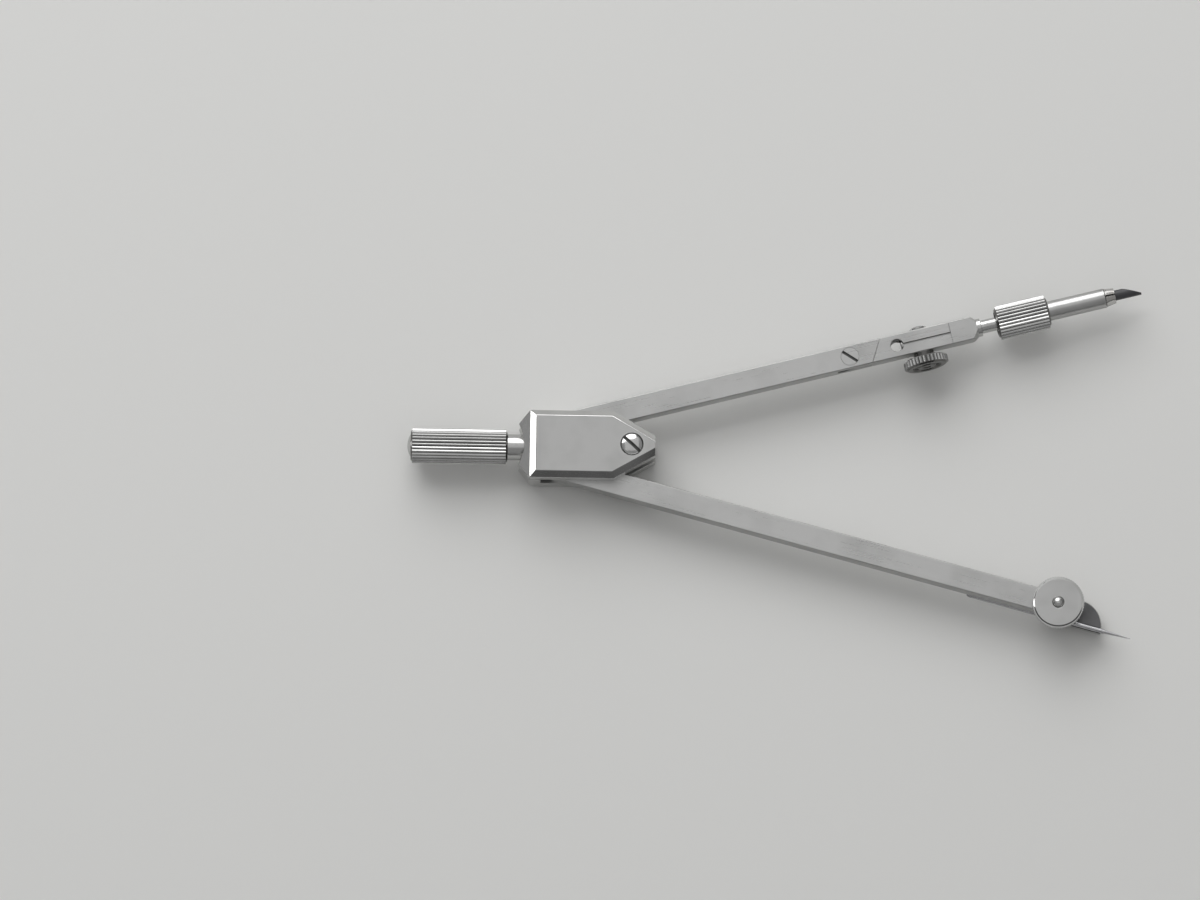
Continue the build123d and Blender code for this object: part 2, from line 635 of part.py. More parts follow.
with BuildPart() as clamp_wheel:
    fluted_barrel(clamp_line, wheel_rim, WHEEL_T, WHEEL_R, WHEEL_FLUTES, WHEEL_FLUTE_DEPTH, WHEEL_CHAMFER)
    with BuildSketch(clamp_line):
        half_section((wheel_near, WHEEL_HUB_R), (wheel_rim, WHEEL_HUB_R))
    revolve(axis=x_axis(clamp_line))
    round_holes(along_axis(clamp_line, wheel_far), WHEEL_DISH_R, -WHEEL_DISH_DEPTH, (0, 0))
    round_holes(along_axis(clamp_line, wheel_near), CLAMP_R + RUN_FIT, wheel_far - wheel_near, (0, 0))

# ----------------------------------------------------------- lead insert

with BuildPart() as insert_body:
    with BuildSketch(along_axis(KNEE, BLOCK_START)):
        Rectangle(LEG_W, LEG_T)
    extrude(amount=BLOCK_END - BLOCK_START)
    long_edges = insert_body.edges().filter_by(x_axis(KNEE))
    chamfer(long_edges, length=LEG_EDGE)
    corner_r = sqrt(LEG_W ** 2 + LEG_T ** 2) / 2
    with BuildSketch(KNEE):
        half_section((BLOCK_START, corner_r), (BLOCK_END - BLOCK_CROWN, corner_r), (BLOCK_END, COLLAR_R))
    revolve(axis=x_axis(KNEE), mode=Mode.INTERSECT)
    with BuildSketch(KNEE):
        half_section(
            (SHANK_START, SHANK_R),
            (BLOCK_START, SHANK_R),
            (BLOCK_END, SHANK_R),
            (BLOCK_END, COLLAR_R),
            (COLLAR_END, COLLAR_R),
            (COLLAR_END, SHAFT_R),
            (THREAD_START, SHAFT_R),
            (THREAD_START, THREAD_R),
            (THREAD_END, THREAD_R),
        )
    revolve(axis=x_axis(KNEE))
    with BuildSketch(facing(KNEE, -KNEE.y_dir, KNEE.x_dir, across=LEG_W / 2)):
        with Locations((SHANK_START, 0)):
            Rectangle(CLAMP_X - SHANK_START, 2 * (CLAMP_R + RUN_FIT), align=(Align.MIN, Align.CENTER))
        with Locations((CLAMP_X, 0)):
            Circle(CLAMP_R + RUN_FIT)
    extrude(amount=LEG_W, mode=Mode.SUBTRACT)
    round_holes(along_axis(KNEE, THREAD_END), COLLET_R + RUN_FIT, COLLET_START - THREAD_END, (0, 0))
    round_holes(along_axis(KNEE, THREAD_END), LEAD_R + RUN_FIT, LEAD_START - LEAD_ROOM - THREAD_END, (0, 0))

with BuildPart() as clutch_nut:
    fluted_barrel(KNEE, NUT_START, NUT_LENGTH, NUT_R, NUT_FLUTES, FLUTE_DEPTH, NUT_CHAMFER)
    round_holes(along_axis(KNEE, NUT_START), THREAD_R + RUN_FIT, NUT_LENGTH - NUT_SEAT, (0, 0))
    round_holes(along_axis(KNEE, NUT_START), SLEEVE_R + PRESS_FIT, NUT_LENGTH, (0, 0))

with BuildPart() as clutch_sleeve:
    with BuildSketch(KNEE):
        half_section(
            (NUT_END - NUT_SEAT, SLEEVE_R),
            (SLEEVE_END, SLEEVE_R),
        )
    revolve(axis=x_axis(KNEE))
    with BuildSketch(KNEE):
        half_section(
            (NUT_END - NUT_SEAT, COLLET_R + RUN_FIT),
            (SLEEVE_END - MOUTH_CHAMFER, COLLET_R + RUN_FIT),
            (SLEEVE_END, COLLET_R + RUN_FIT + MOUTH_CHAMFER),
        )
    revolve(axis=x_axis(KNEE), mode=Mode.SUBTRACT)

with BuildPart() as collet:
    cone_start = SLEEVE_END - MOUTH_CHAMFER + COLLET_GAP
    cone_end = cone_start + COLLET_HEAD_R - COLLET_R
    with BuildSketch(KNEE):
        half_section(
            (COLLET_START + RUN_FIT, COLLET_R),
            (cone_start, COLLET_R),
            (cone_end, COLLET_HEAD_R),
            (COLLET_END, COLLET_TIP_R),
        )
    revolve(axis=x_axis(KNEE))
    round_holes(along_axis(KNEE, COLLET_START), LEAD_R + RUN_FIT, COLLET_END - COLLET_START, (0, 0))
    slit_reach = 2 * (COLLET_HEAD_R + COLLET_SLIT_W)
    with BuildSketch(along_axis(KNEE, COLLET_END)):
        Rectangle(slit_reach, COLLET_SLIT_W)
        Rectangle(COLLET_SLIT_W, slit_reach)
    extrude(amount=-COLLET_SLIT_LENGTH, mode=Mode.SUBTRACT)

with BuildPart() as lead:
    with BuildSketch(along_axis(KNEE, LEAD_START)):
        Circle(LEAD_R)
    extrude(amount=LEAD_END - LEAD_START)
    with BuildSketch(KNEE):
        with BuildLine():
            Polyline(
                (LEAD_END - LEAD_WEDGE, LEAD_R),
                (LEAD_END, LEAD_R),
                (LEAD_END, LEAD_TIP_T - LEAD_R),
                (LEAD_END - LEAD_WEDGE, LEAD_R),
                close=False,
            )
        make_face()
    extrude(amount=LEAD_R, both=True, mode=Mode.SUBTRACT)

# ----------------------------------------------------------------- files

PIECES = {
    "front_plate": front_plate,
    "rear_plate": rear_plate,
    "head_yoke": head_yoke,
    "pivot_pins": pivot_pins,
    "head_spacer": head_spacer,
    "head_screw": head_screw,
    "handle_spindle": handle_spindle,
    "handle_grip": handle_grip,
    "needle_leg": needle_leg,
    "needle_stud": needle_stud,
    "knob_washer": knob_washer,
    "needle_knob": needle_knob,
    "needle_holder": needle_holder,
    "needle": needle,
    "pencil_leg": pencil_leg,
    "knee_screw": knee_screw,
    "pencil_socket": pencil_socket,
    "clamp_screw": clamp_screw,
    "clamp_wheel": clamp_wheel,
    "insert_body": insert_body,
    "clutch_nut": clutch_nut,
    "clutch_sleeve": clutch_sleeve,
    "collet": collet,
    "lead": lead,
}
for name, piece in PIECES.items():
    piece.part.label = name
    export_step(piece.part, f"parts/{name}.step")
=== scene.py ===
"""Drafting compass in plated metal, on a pale floor in soft studio light.

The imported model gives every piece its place. Most turned pieces are made again here with smooth walls,
straight flutes and driver slots, the flat pieces get broken edges, and every piece gets its metal. Sizes
are in millimetres where nothing else is said, and MM turns them into the scene's metres. X runs along the
handle towards the points and Z out of the front cheek.
"""
import json
import logging
import math
from dataclasses import dataclass
from enum import Enum
from typing import Callable, Sequence

import bmesh
import bpy
from mathutils import Matrix, Vector

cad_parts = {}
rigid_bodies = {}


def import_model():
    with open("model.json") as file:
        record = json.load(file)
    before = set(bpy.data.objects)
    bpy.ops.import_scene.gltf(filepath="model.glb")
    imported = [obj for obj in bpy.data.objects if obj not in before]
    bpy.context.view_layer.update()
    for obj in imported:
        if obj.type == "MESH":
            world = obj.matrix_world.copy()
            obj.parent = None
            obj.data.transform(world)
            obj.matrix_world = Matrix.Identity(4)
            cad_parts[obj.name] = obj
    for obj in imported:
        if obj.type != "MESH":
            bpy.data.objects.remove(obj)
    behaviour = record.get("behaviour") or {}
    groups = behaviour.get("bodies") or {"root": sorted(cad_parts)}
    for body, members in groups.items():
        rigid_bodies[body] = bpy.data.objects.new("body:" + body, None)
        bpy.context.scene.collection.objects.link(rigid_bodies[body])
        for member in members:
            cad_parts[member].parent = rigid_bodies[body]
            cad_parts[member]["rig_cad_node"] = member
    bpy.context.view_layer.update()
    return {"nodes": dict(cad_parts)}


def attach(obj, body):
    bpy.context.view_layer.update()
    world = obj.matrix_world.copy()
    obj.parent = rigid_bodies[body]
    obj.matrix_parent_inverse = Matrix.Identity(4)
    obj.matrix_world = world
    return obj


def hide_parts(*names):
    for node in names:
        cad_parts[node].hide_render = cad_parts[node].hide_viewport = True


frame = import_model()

MM = 0.001
HAIR = 1e-6  # metres: corners nearer than this are one corner
RING_HAIR = 0.4 * HAIR  # metres: corners whose radii differ by less are on one ring
POINT_R = HAIR / 10 / MM  # radius of the ring that stands for a point on the axis
NEAR = 0.01  # a face this near a wall is part of it
SHARP = 32.0  # degrees: edges that turn by less are shaded smooth
BROKEN = 30.0  # degrees: edges that turn by more are broken
FLAT = 0.3  # degrees: faces that turn by less are one face
FACE_WEIGHT = 90  # how far large faces win over small ones in the shading
SHORT_SIDE = 0.4  # the most that an eased corner takes of a short side
MID_Z = 5.01  # height of the legs' middle plane
OPENING = 14.6  # degrees from each leg to the handle's axis
PIVOT_Y = 4.2
NEEDLE_REACH = 99.9
KNEE_REACH = 57.7
HANDLE_X = -7.9  # the yoke's end face, where the handle starts
Z = Vector((0, 0, 1))

Point = tuple[float, float]
Profile = Sequence[Point]
Span = tuple[float, float]
Colour = tuple[float, float, float, float]
Piece = bpy.types.Object
Face = bpy.types.MeshPolygon
Tree = bpy.types.NodeTree
Output = bpy.types.NodeSocket
Rule = Callable[[Face], bool]
LOG = logging.getLogger("compass")


# ---- places


@dataclass(frozen=True)
class Place:
    """A point of the object with its own directions: X along, Z up, and Y across."""

    origin: Vector
    x: Vector
    z: Vector

    @property
    def y(self) -> Vector:
        """The direction across."""
        return self.z.cross(self.x)

    @property
    def matrix(self) -> Matrix:
        """Turns the place's own coordinates, in metres, into the object's."""
        turn = Matrix((self.x, self.y, self.z)).transposed().to_4x4()
        return Matrix.Translation(self.origin * MM) @ turn

    def at(self, along: float = 0.0, across: float = 0.0, height: float = 0.0) -> Vector:
        """A point given in the place's own directions, in millimetres."""
        return self.origin + self.x * along + self.y * across + self.z * height

    def turned_to(
        self, x: Vector, z: Vector, along: float = 0.0, across: float = 0.0, height: float = 0.0
    ) -> "Place":
        """Another place near this one, facing other directions.

        Args:
            x: Its X direction.
            z: Its Z direction, along which a turned piece is made.
            along: Its distance from this place along X.
            across: Its distance across.
            height: Its distance up.

        Returns:
            The new place.
        """
        return Place(self.at(along, across, height), x, z)


def leg_place(side: int) -> Place:
    """The pivot end of a leg, on its middle plane: 1 for the pencil leg and -1 for the needle leg."""
    angle = math.radians(OPENING)
    return Place(Vector((0, side * PIVOT_Y, MID_Z)), Vector((math.cos(angle), side * math.sin(angle), 0)), Z)


HOME = Place(Vector((0, 0, 0)), Vector((1, 0, 0)), Z)
NEEDLE_LEG = leg_place(-1)
PENCIL_LEG = leg_place(1)
STUD = NEEDLE_LEG.turned_to(NEEDLE_LEG.x, Z, along=NEEDLE_REACH)
KNEE = PENCIL_LEG.turned_to(PENCIL_LEG.x, Z, along=KNEE_REACH)
HANDLE = Place(Vector((HANDLE_X, 0, MID_Z)), Z, Vector((-1, 0, 0)))


# ---- materials


def linear(tone: str) -> Colour:
    """Linear colour of an sRGB hex tone.

    Args:
        tone: Six hex digits after a #.

    Returns:
        Red, green, blue and an alpha of 1.
    """
    shares = (int(tone[i : i + 2], 16) / 255 for i in (1, 3, 5))
    red, green, blue = (s / 12.92 if s <= 0.04045 else ((s + 0.055) / 1.055) ** 2.4 for s in shares)
    return red, green, blue, 1.0


def new_material(name: str) -> tuple[bpy.types.Material, Tree]:
    """Makes a material without nodes.

    Args:
        name: Its name.

    Returns:
        The material and its empty node tree.
    """
    material = bpy.data.materials.new(name)
    material.use_nodes = True
    material.node_tree.nodes.clear()
    return material, material.node_tree


def add_node(tree: Tree, kind: str, inputs: dict | None = None, **settings: object) -> bpy.types.Node:
    """Adds a node to a material or to the sky.

    Args:
        tree: The node tree.
        kind: The node's type, without the ShaderNode in front.
        inputs: A value, or another node's output, for each input.
        settings: Values of the node's own settings.

    Returns:
        The new node.
    """
    node = tree.nodes.new(f"ShaderNode{kind}")
    for name, value in settings.items():
        setattr(node, name, value)
    for name, value in (inputs or {}).items():
        if isinstance(value, Output):
            tree.links.new(value, node.inputs[name])
        else:
            node.inputs[name].default_value = value
    return node


def remap(tree: Tree, value: Output, old: Span, new: Span = (0.0, 1.0), curve: str = "LINEAR") -> Output:
    """Maps one span of values onto another, and holds the values outside at its ends.

    Args:
        tree: The node tree.
        value: The value.
        old: The span that it comes from.
        new: The span that it goes to.
        curve: The way between the ends, LINEAR or SMOOTHSTEP.

    Returns:
        The mapped value.
    """
    spans = {"From Min": old[0], "From Max": old[1], "To Min": new[0], "To Max": new[1]}
    return add_node(tree, "MapRange", {"Value": value, **spans}, interpolation_type=curve).outputs[0]


def blend(tree: Tree, share: Output, first: Colour | Output, second: Colour) -> Output:
    """A mix of two colours, by the share of the second."""
    return add_node(tree, "Mix", {"Factor": share, 6: first, 7: second}, data_type="RGBA").outputs[2]


def laid(tree: Tree, place: Place, lengths: Sequence[float]) -> Output:
    """Coordinates laid along a place of the object.

    Args:
        tree: The node tree.
        place: The place.
        lengths: What counts as 1 along its X, Y and Z.

    Returns:
        The coordinates.
    """
    at = add_node(tree, "TexCoord").outputs["Object"]
    spot, turn = tuple(place.origin * MM), tuple(place.matrix.to_euler())
    size = tuple(length * MM for length in lengths)
    inputs = {"Vector": at, "Location": spot, "Rotation": turn, "Scale": size}
    return add_node(tree, "Mapping", inputs, vector_type="TEXTURE").outputs[0]


def noise(tree: Tree, at: Output, detail: float, roughness: float = 0.5) -> Output:
    """Noise with grains about as large as 1 in the coordinates that it gets."""
    inputs = {"Vector": at, "Scale": 1.0, "Detail": detail, "Roughness": roughness}
    return add_node(tree, "TexNoise", inputs).outputs["Fac"]


def surface(tree: Tree, colour: Output, rough: Output, grain: Output, depth: float, metallic: float) -> None:
    """Ends a material in a surface with a fine bump.

    Args:
        tree: The material's node tree.
        colour: Its colour.
        rough: Its roughness.
        grain: The height of its bump, from 0 to 1.
        depth: The depth of its bump.
        metallic: 1 for a metal and 0 for anything else.
    """
    bump = add_node(tree, "Bump", {"Height": grain, "Strength": 1.0, "Distance": depth * MM})
    inputs = {"Base Color": colour, "Metallic": metallic, "Roughness": rough, "Normal": bump.outputs[0]}
    shader = add_node(tree, "BsdfPrincipled", inputs)
    add_node(tree, "OutputMaterial", {"Surface": shader.outputs[0]})


class Marks(Enum):
    """Which way the last tool's fine marks run: grain lengths along X, Y and Z of the piece's place."""

    # Real emery lines and tool rings are about 0.03 mm wide, too fine to show, so the grain is drawn ten
    # times coarser.
    ALONG = (14.0, 0.34, 0.6)
    ACROSS = (0.34, 14.0, 0.6)
    ROUND_Z = (60.0, 60.0, 0.3)
    ALONG_Z = (0.3, 0.3, 12.0)
    EVEN = (0.32, 0.32, 0.32)


PATCHES = (0.42, 0.72)  # noise at which a handled patch starts and is full
GRAIN = (0.3, 0.7)  # noise at the grain's floor and at its top
ROOT_SHADE = 0.85  # share of painted shade at a groove's root
ROOT_SHADE_TOP = 0.35  # depth in a groove where painted shade starts, as a share of the whole


@dataclass(frozen=True)
class Metal:
    """A metal surface: its tone, its polish and the marks that the last tool left on it."""

    name: str
    tone: str
    handled: str  # its tone where it is handled
    marks: Marks
    place: Place
    roughness: float
    spread: float  # how far its roughness goes up and down
    depth: float  # depth of its marks
    patch: float  # size of its handled patches
    groove: Span | None = None  # radii of a groove's root and of the upper end of its painted shade
    # tone of the painted shade at a groove's root
    shade_tone: str = "#4E4D4B"

    def make(self) -> bpy.types.Material:
        """Makes the material.

        Returns:
            A metal whose grain follows its place, whose tone changes a little in handled patches, and whose
            flutes darken with painted shade between the two radii of its groove.
        """
        material, tree = new_material(self.name)
        grain = noise(tree, laid(tree, self.place, self.marks.value), detail=3.0, roughness=0.6)
        patches = noise(tree, laid(tree, self.place, (self.patch,) * 3), detail=2.0)
        worn = remap(tree, patches, PATCHES)
        colour = blend(tree, worn, linear(self.tone), linear(self.handled))
        # Painted shade: the flutes darken towards their roots, where shade falls in a groove.
        if self.groove:
            root, top = self.groove
            own = laid(tree, self.place, (1.0, 1.0, 1.0))
            flat = add_node(tree, "VectorMath", {0: own, 1: (1, 1, 0)}, operation="MULTIPLY")
            radius = add_node(tree, "VectorMath", {0: flat.outputs[0]}, operation="LENGTH")
            painted_shade = remap(tree, radius.outputs["Value"], (top, root), (0.0, ROOT_SHADE))
            colour = blend(tree, painted_shade, colour, linear(self.shade_tone))
        polish = (self.roughness - self.spread, self.roughness + self.spread)
        rough = remap(tree, grain, GRAIN, polish)
        surface(tree, colour, rough, grain, self.depth, metallic=1.0)
        return material


@dataclass(frozen=True)
class Graphite:
    """Pencil lead: sanded graphite and clay, dark grey with a soft greasy sheen."""

    name: str
    tone: str
    rubbed: str  # its tone where it is rubbed
    place: Place
    roughness: Span
    grit: float  # size of its sanding grit
    depth: float  # depth of its sanding grit

    def make(self) -> bpy.types.Material:
        """Makes the material.

        Returns:
            A dark, half-matt material with fine sanding grit.
        """
        material, tree = new_material(self.name)
        grit = noise(tree, laid(tree, self.place, (self.grit,) * 3), detail=3.0)
        colour = blend(tree, grit, linear(self.tone), linear(self.rubbed))
        rough = remap(tree, grit, (0.0, 1.0), self.roughness)
        surface(tree, colour, rough, grit, self.depth, metallic=0.0)
        return material


# ---- finishes, each laid along the piece that wears it


def satin_chrome(place: Place, marks: Marks = Marks.EVEN) -> Metal:
    """Satin chrome plate on fine-blasted brass: an even pale grey that glows instead of mirroring."""
    return Metal(
        "Satin_chrome_plate", "#BDBDBC", "#B2B2B1", marks, place,
        roughness=0.33, spread=0.04, depth=0.007, patch=6.0,
    )


def fluted_chrome(place: Place, radius: float, depth: float) -> Metal:
    """Chrome plate over flutes of a radius and depth: bright ridges, with painted shade darkening the
    grooves.
    """
    return Metal(
        "Fluted_chrome_plate", "#CACAC9", "#BEBEBD", Marks.ALONG_Z, place,
        roughness=0.16, spread=0.04, depth=0.002, patch=4.0,
        groove=(radius - depth, radius - ROOT_SHADE_TOP * depth),
    )


def soft_turned_chrome(place: Place) -> Metal:
    """Chrome plate over fine-turned brass, wiped with pumice: its highlights glow with soft ends."""
    return Metal(
        "Pumiced_chrome_plate", "#C4C4C3", "#B9B9B8", Marks.ROUND_Z, place,
        roughness=0.24, spread=0.04, depth=0.003, patch=4.0,
    )


def polished_chrome(place: Place) -> Metal:
    """Buffed chrome plate: near-mirror, so bevels flash white or go dark as a whole."""
    return Metal(
        "Buffed_chrome_plate", "#CFCFCE", "#C6C6C5", Marks.EVEN, place,
        roughness=0.11, spread=0.03, depth=0.001, patch=5.0,
    )


def turned_chrome(place: Place) -> Metal:
    """Chrome plate over lathe-turned brass: bright, with faint rings that stretch its highlights."""
    return Metal(
        "Turned_chrome_plate", "#CCCCCB", "#C0C0BF", Marks.ROUND_Z, place,
        roughness=0.13, spread=0.04, depth=0.002, patch=4.0,
    )


def brushed_leg(place: Place) -> Metal:
    """Nickel silver drawn through emery and chrome plated: satin with long fine lines."""
    return Metal(
        "Emery_drawn_chrome_plate", "#C2C2C1", "#B6B6B5", Marks.ALONG, place,
        roughness=0.31, spread=0.05, depth=0.004, patch=7.0,
    )


def shaded_filed_steel(place: Place) -> Metal:
    """Filed steel plate with crosswise lines; its dark tone is painted shade of its place behind the leg."""
    return Metal(
        "Cross_filed_steel_painted_shade", "#6C6C6D", "#5F5F60", Marks.ACROSS, place,
        roughness=0.34, spread=0.06, depth=0.006, patch=3.0,
    )


def needle_steel(place: Place) -> Metal:
    """Hardened steel wire, ground and polished round its axis: a cool narrow glint."""
    return Metal(
        "Ground_steel_wire", "#BEBEC0", "#ACACAE", Marks.ROUND_Z, place,
        roughness=0.16, spread=0.04, depth=0.001, patch=3.0,
    )


def turned_steel(place: Place) -> Metal:
    """Plain turned steel of the hidden pins and washers: greyer, with open tool rings."""
    return Metal(
        "Turned_plain_steel", "#A3A3A3", "#8F8F8F", Marks.ROUND_Z, place,
        roughness=0.30, spread=0.06, depth=0.004, patch=3.0,
    )


def spring_bronze(place: Place) -> Metal:
    """Nickel-plated spring bronze: bright, with a trace of warmth where the plate is thin."""
    return Metal(
        "Nickel_plated_spring_bronze", "#C6C5C3", "#B8B5B0", Marks.ROUND_Z, place,
        roughness=0.18, spread=0.05, depth=0.002, patch=1.6,
    )


def painted_slot_shade(place: Place) -> Metal:
    """Unpolished sawn and bored walls, dull; their dark tone is painted shade in slots, slits and holes."""
    return Metal(
        "Sawn_walls_painted_shade", "#5A5A59", "#454544", Marks.ALONG, place,
        roughness=0.42, spread=0.06, depth=0.004, patch=1.0,
    )


def graphite(place: Place) -> Graphite:
    """Graphite lead, sanded to its wedge: dark, soft, with a greasy sheen."""
    return Graphite(
        "Sanded_graphite_lead", "#39393B", "#4C4C4F", place, roughness=(0.38, 0.58), grit=0.35, depth=0.012
    )


# ---- making


def select_only(piece: Piece) -> None:
    """Makes a piece the only selected and the active one."""
    bpy.ops.object.select_all(action="DESELECT")
    piece.select_set(True)
    bpy.context.view_layer.objects.active = piece


def apply_modifier(piece: Piece, kind: str, **settings: object) -> None:
    """Gives a piece a modifier and applies it.

    Args:
        piece: The piece.
        kind: The modifier's type.
        settings: Values of its settings.
    """
    select_only(piece)
    modifier = piece.modifiers.new(kind.title(), kind)
    for name, value in settings.items():
        setattr(modifier, name, value)
    bpy.ops.object.modifier_apply(modifier=modifier.name)


def smooth(piece: Piece) -> None:
    """Shades a piece smooth but for its sharp edges, and keeps its flat faces flat.

    Args:
        piece: The piece, with its place in its mesh.
    """
    select_only(piece)
    bpy.ops.object.shade_smooth_by_angle(angle=math.radians(SHARP))
    # Faces far under a square metre all weigh the same, so the piece is weighed a thousand times larger.
    piece.scale = (1 / MM,) * 3
    bpy.ops.object.transform_apply(location=False, rotation=False, scale=True)
    apply_modifier(piece, "WEIGHTED_NORMAL", keep_sharp=True, weight=FACE_WEIGHT, thresh=0.0)
    piece.scale = (MM,) * 3
    bpy.ops.object.transform_apply(location=False, rotation=False, scale=True)


def eased(profile: Profile, by: float, closed: bool) -> list[Point]:
    """Takes the corners off a turned profile.

    Args:
        profile: Positions along the axis and radii.
        by: How far from each corner the small bevel starts.
        closed: Whether the profile's last point joins its first.

    Returns:
        The profile with two points for each corner.
    """
    points = [Vector(p) for p in profile]
    count = len(points)
    made = []
    for i, corner in enumerate(points):
        if (not closed and i in (0, count - 1)) or corner.y == 0:
            made.append(tuple(corner))
            continue
        for other in (points[i - 1], points[(i + 1) % count]):
            way = other - corner
            made.append(tuple(corner + way.normalized() * min(by, way.length * SHORT_SIDE)))
    return made


def dome(start: float, radius: float, rise: float, steps: int = 6) -> list[Point]:
    """Profile of a round dome from its rim to its top.

    Args:
        start: Position of the rim along the axis.
        radius: Radius of the rim.
        rise: Height of the top over the rim.
        steps: Rings between the rim and the top.

    Returns:
        Positions and radii, the last at the axis.
    """
    ball = (radius**2 + rise**2) / (2 * rise)
    half = math.asin(radius / ball)
    turns = (half * (steps - i) / steps for i in range(steps + 1))
    return [(start + rise - ball * (1 - math.cos(t)), ball * math.sin(t)) for t in turns]


@dataclass(frozen=True)
class Flutes:
    """Straight grooves pressed round a turned piece."""

    count: int
    depth: float
    # Depths of the mesh's corners, from a groove's middle to its ridge, as shares of the whole depth.
    shares: tuple[float, ...] = (1.0, 0.72, 0.36, 0.08, 0.0)

    @property
    def corners(self) -> int:
        """Corners of the mesh for each flute."""
        return 2 * (len(self.shares) - 1)

    def press(self, piece: Piece, profile: Profile, radius: float) -> None:
        """Presses the grooves into a piece that is open in edit mode.

        Args:
            piece: The turned piece, still round its own Z axis.
            profile: Its profile.
            radius: The radius that the grooves are cut from.
        """
        mesh = bmesh.from_edit_mesh(piece.data)
        whole = self.count * self.corners
        for along, ring in {p for p in profile if p[1] > radius - self.depth}:
            height, reach = along * MM, ring * MM
            for step, share in enumerate(self.shares):
                wanted = radius - self.depth * share
                if wanted >= ring:
                    continue
                bpy.ops.mesh.select_all(action="DESELECT")
                for corner in mesh.verts:
                    if abs(corner.co.z - height) < HAIR and abs(corner.co.xy.length - reach) < RING_HAIR:
                        place = round(math.atan2(corner.co.y, corner.co.x) / math.tau * whole) % self.corners
                        corner.select = min(place, self.corners - place) == step
                mesh.select_flush(True)
                factor = wanted / ring
                bpy.ops.transform.resize(value=(factor, factor, 1), center_override=(0, 0, 0))


@dataclass
class Turned:
    """A turned piece: a circle drawn out along its axis, ring by ring."""

    name: str
    place: Place
    profile: Profile
    tube: bool = False
    sides: int = 96
    ease: float = 0.05
    flutes: Flutes | None = None

    def make(self) -> Piece:
        """Makes the piece round its own Z axis.

        Returns:
            The piece, not yet laid in its place.
        """
        profile = eased(self.profile, self.ease, self.tube)
        sides = self.flutes.count * self.flutes.corners if self.flutes else self.sides
        bpy.ops.object.select_all(action="DESELECT")
        bpy.ops.mesh.primitive_circle_add(
            vertices=sides, radius=profile[0][1] * MM, enter_editmode=True, location=(0, 0, 0)
        )
        piece = bpy.context.object
        piece.name = piece.data.name = self.name
        bpy.context.tool_settings.mesh_select_mode = (True, False, False)
        bpy.ops.mesh.select_all(action="SELECT")
        bpy.ops.transform.translate(value=(0, 0, profile[0][0] * MM))
        here = profile[0]
        for there in [*profile[1:], profile[0]] if self.tube else profile[1:]:
            rise = (there[0] - here[0]) * MM
            bpy.ops.mesh.extrude_edges_move(TRANSFORM_OT_translate={"value": (0, 0, rise)})
            there = (there[0], max(there[1], POINT_R))
            factor = there[1] / here[1]
            bpy.ops.transform.resize(value=(factor, factor, 1), center_override=(0, 0, 0))
            here = there
        bpy.ops.mesh.select_all(action="SELECT")
        bpy.ops.mesh.remove_doubles(threshold=HAIR)
        if not self.tube:
            bpy.ops.mesh.select_all(action="DESELECT")
            bpy.ops.mesh.select_non_manifold()
            bpy.ops.mesh.fill_holes(sides=0)
        bpy.ops.mesh.select_all(action="SELECT")
        bpy.ops.mesh.normals_make_consistent(inside=False)
        if self.flutes:
            self.flutes.press(piece, profile, max(r for _, r in profile))
        bpy.ops.object.mode_set(mode="OBJECT")
        return piece

    def slot(self, piece: Piece, width: float, depth: float, top: float, turn: float, reach: float) -> None:
        """Cuts a driver slot right across the piece's end.

        Args:
            piece: The piece, still round its own Z axis.
            width: Width of the slot.
            depth: How far it goes into the piece.
            top: Position of the end along the axis.
            turn: Direction of the slot, in degrees from the piece's X.
            reach: Length of the cutter.
        """
        bpy.ops.object.select_all(action="DESELECT")
        bpy.ops.mesh.primitive_cube_add(
            size=1,
            location=(0, 0, top * MM),
            rotation=(0, 0, math.radians(turn)),
            scale=(reach * MM, width * MM, 2 * depth * MM),
        )
        cutter = bpy.context.object
        apply_modifier(piece, "BOOLEAN", operation="DIFFERENCE", object=cutter, solver="EXACT")
        bpy.data.objects.remove(cutter)

    def shaded_faces(self, width: float, turn: float, low: float, high: float) -> Rule:
        """Rule that picks the faces of a driver slot.

        Args:
            width: Width of the slot.
            turn: Direction of the slot, in degrees from the piece's X.
            low: Position of its lower side along the axis.
            high: Position of its upper side.

        Returns:
            A rule that says whether a face is the slot's floor or wall.
        """
        home = self.place.matrix.inverted()
        across = Matrix.Rotation(math.radians(-turn), 4, "Z") @ home

        def rule(face: Face) -> bool:
            """Whether the face lies between the slot's walls and below its rim."""
            spot = across @ face.center / MM
            return abs(spot.y) < width / 2 + NEAR and low - NEAR < spot.z < high

        return rule

    def lay(self, piece: Piece) -> Piece:
        """Lays the piece in its place and shades it.

        Args:
            piece: The piece, round its own Z axis.

        Returns:
            The same piece, its place now in its mesh.
        """
        select_only(piece)
        piece.matrix_world = self.place.matrix
        bpy.ops.object.transform_apply(location=True, rotation=True, scale=True)
        smooth(piece)
        return piece


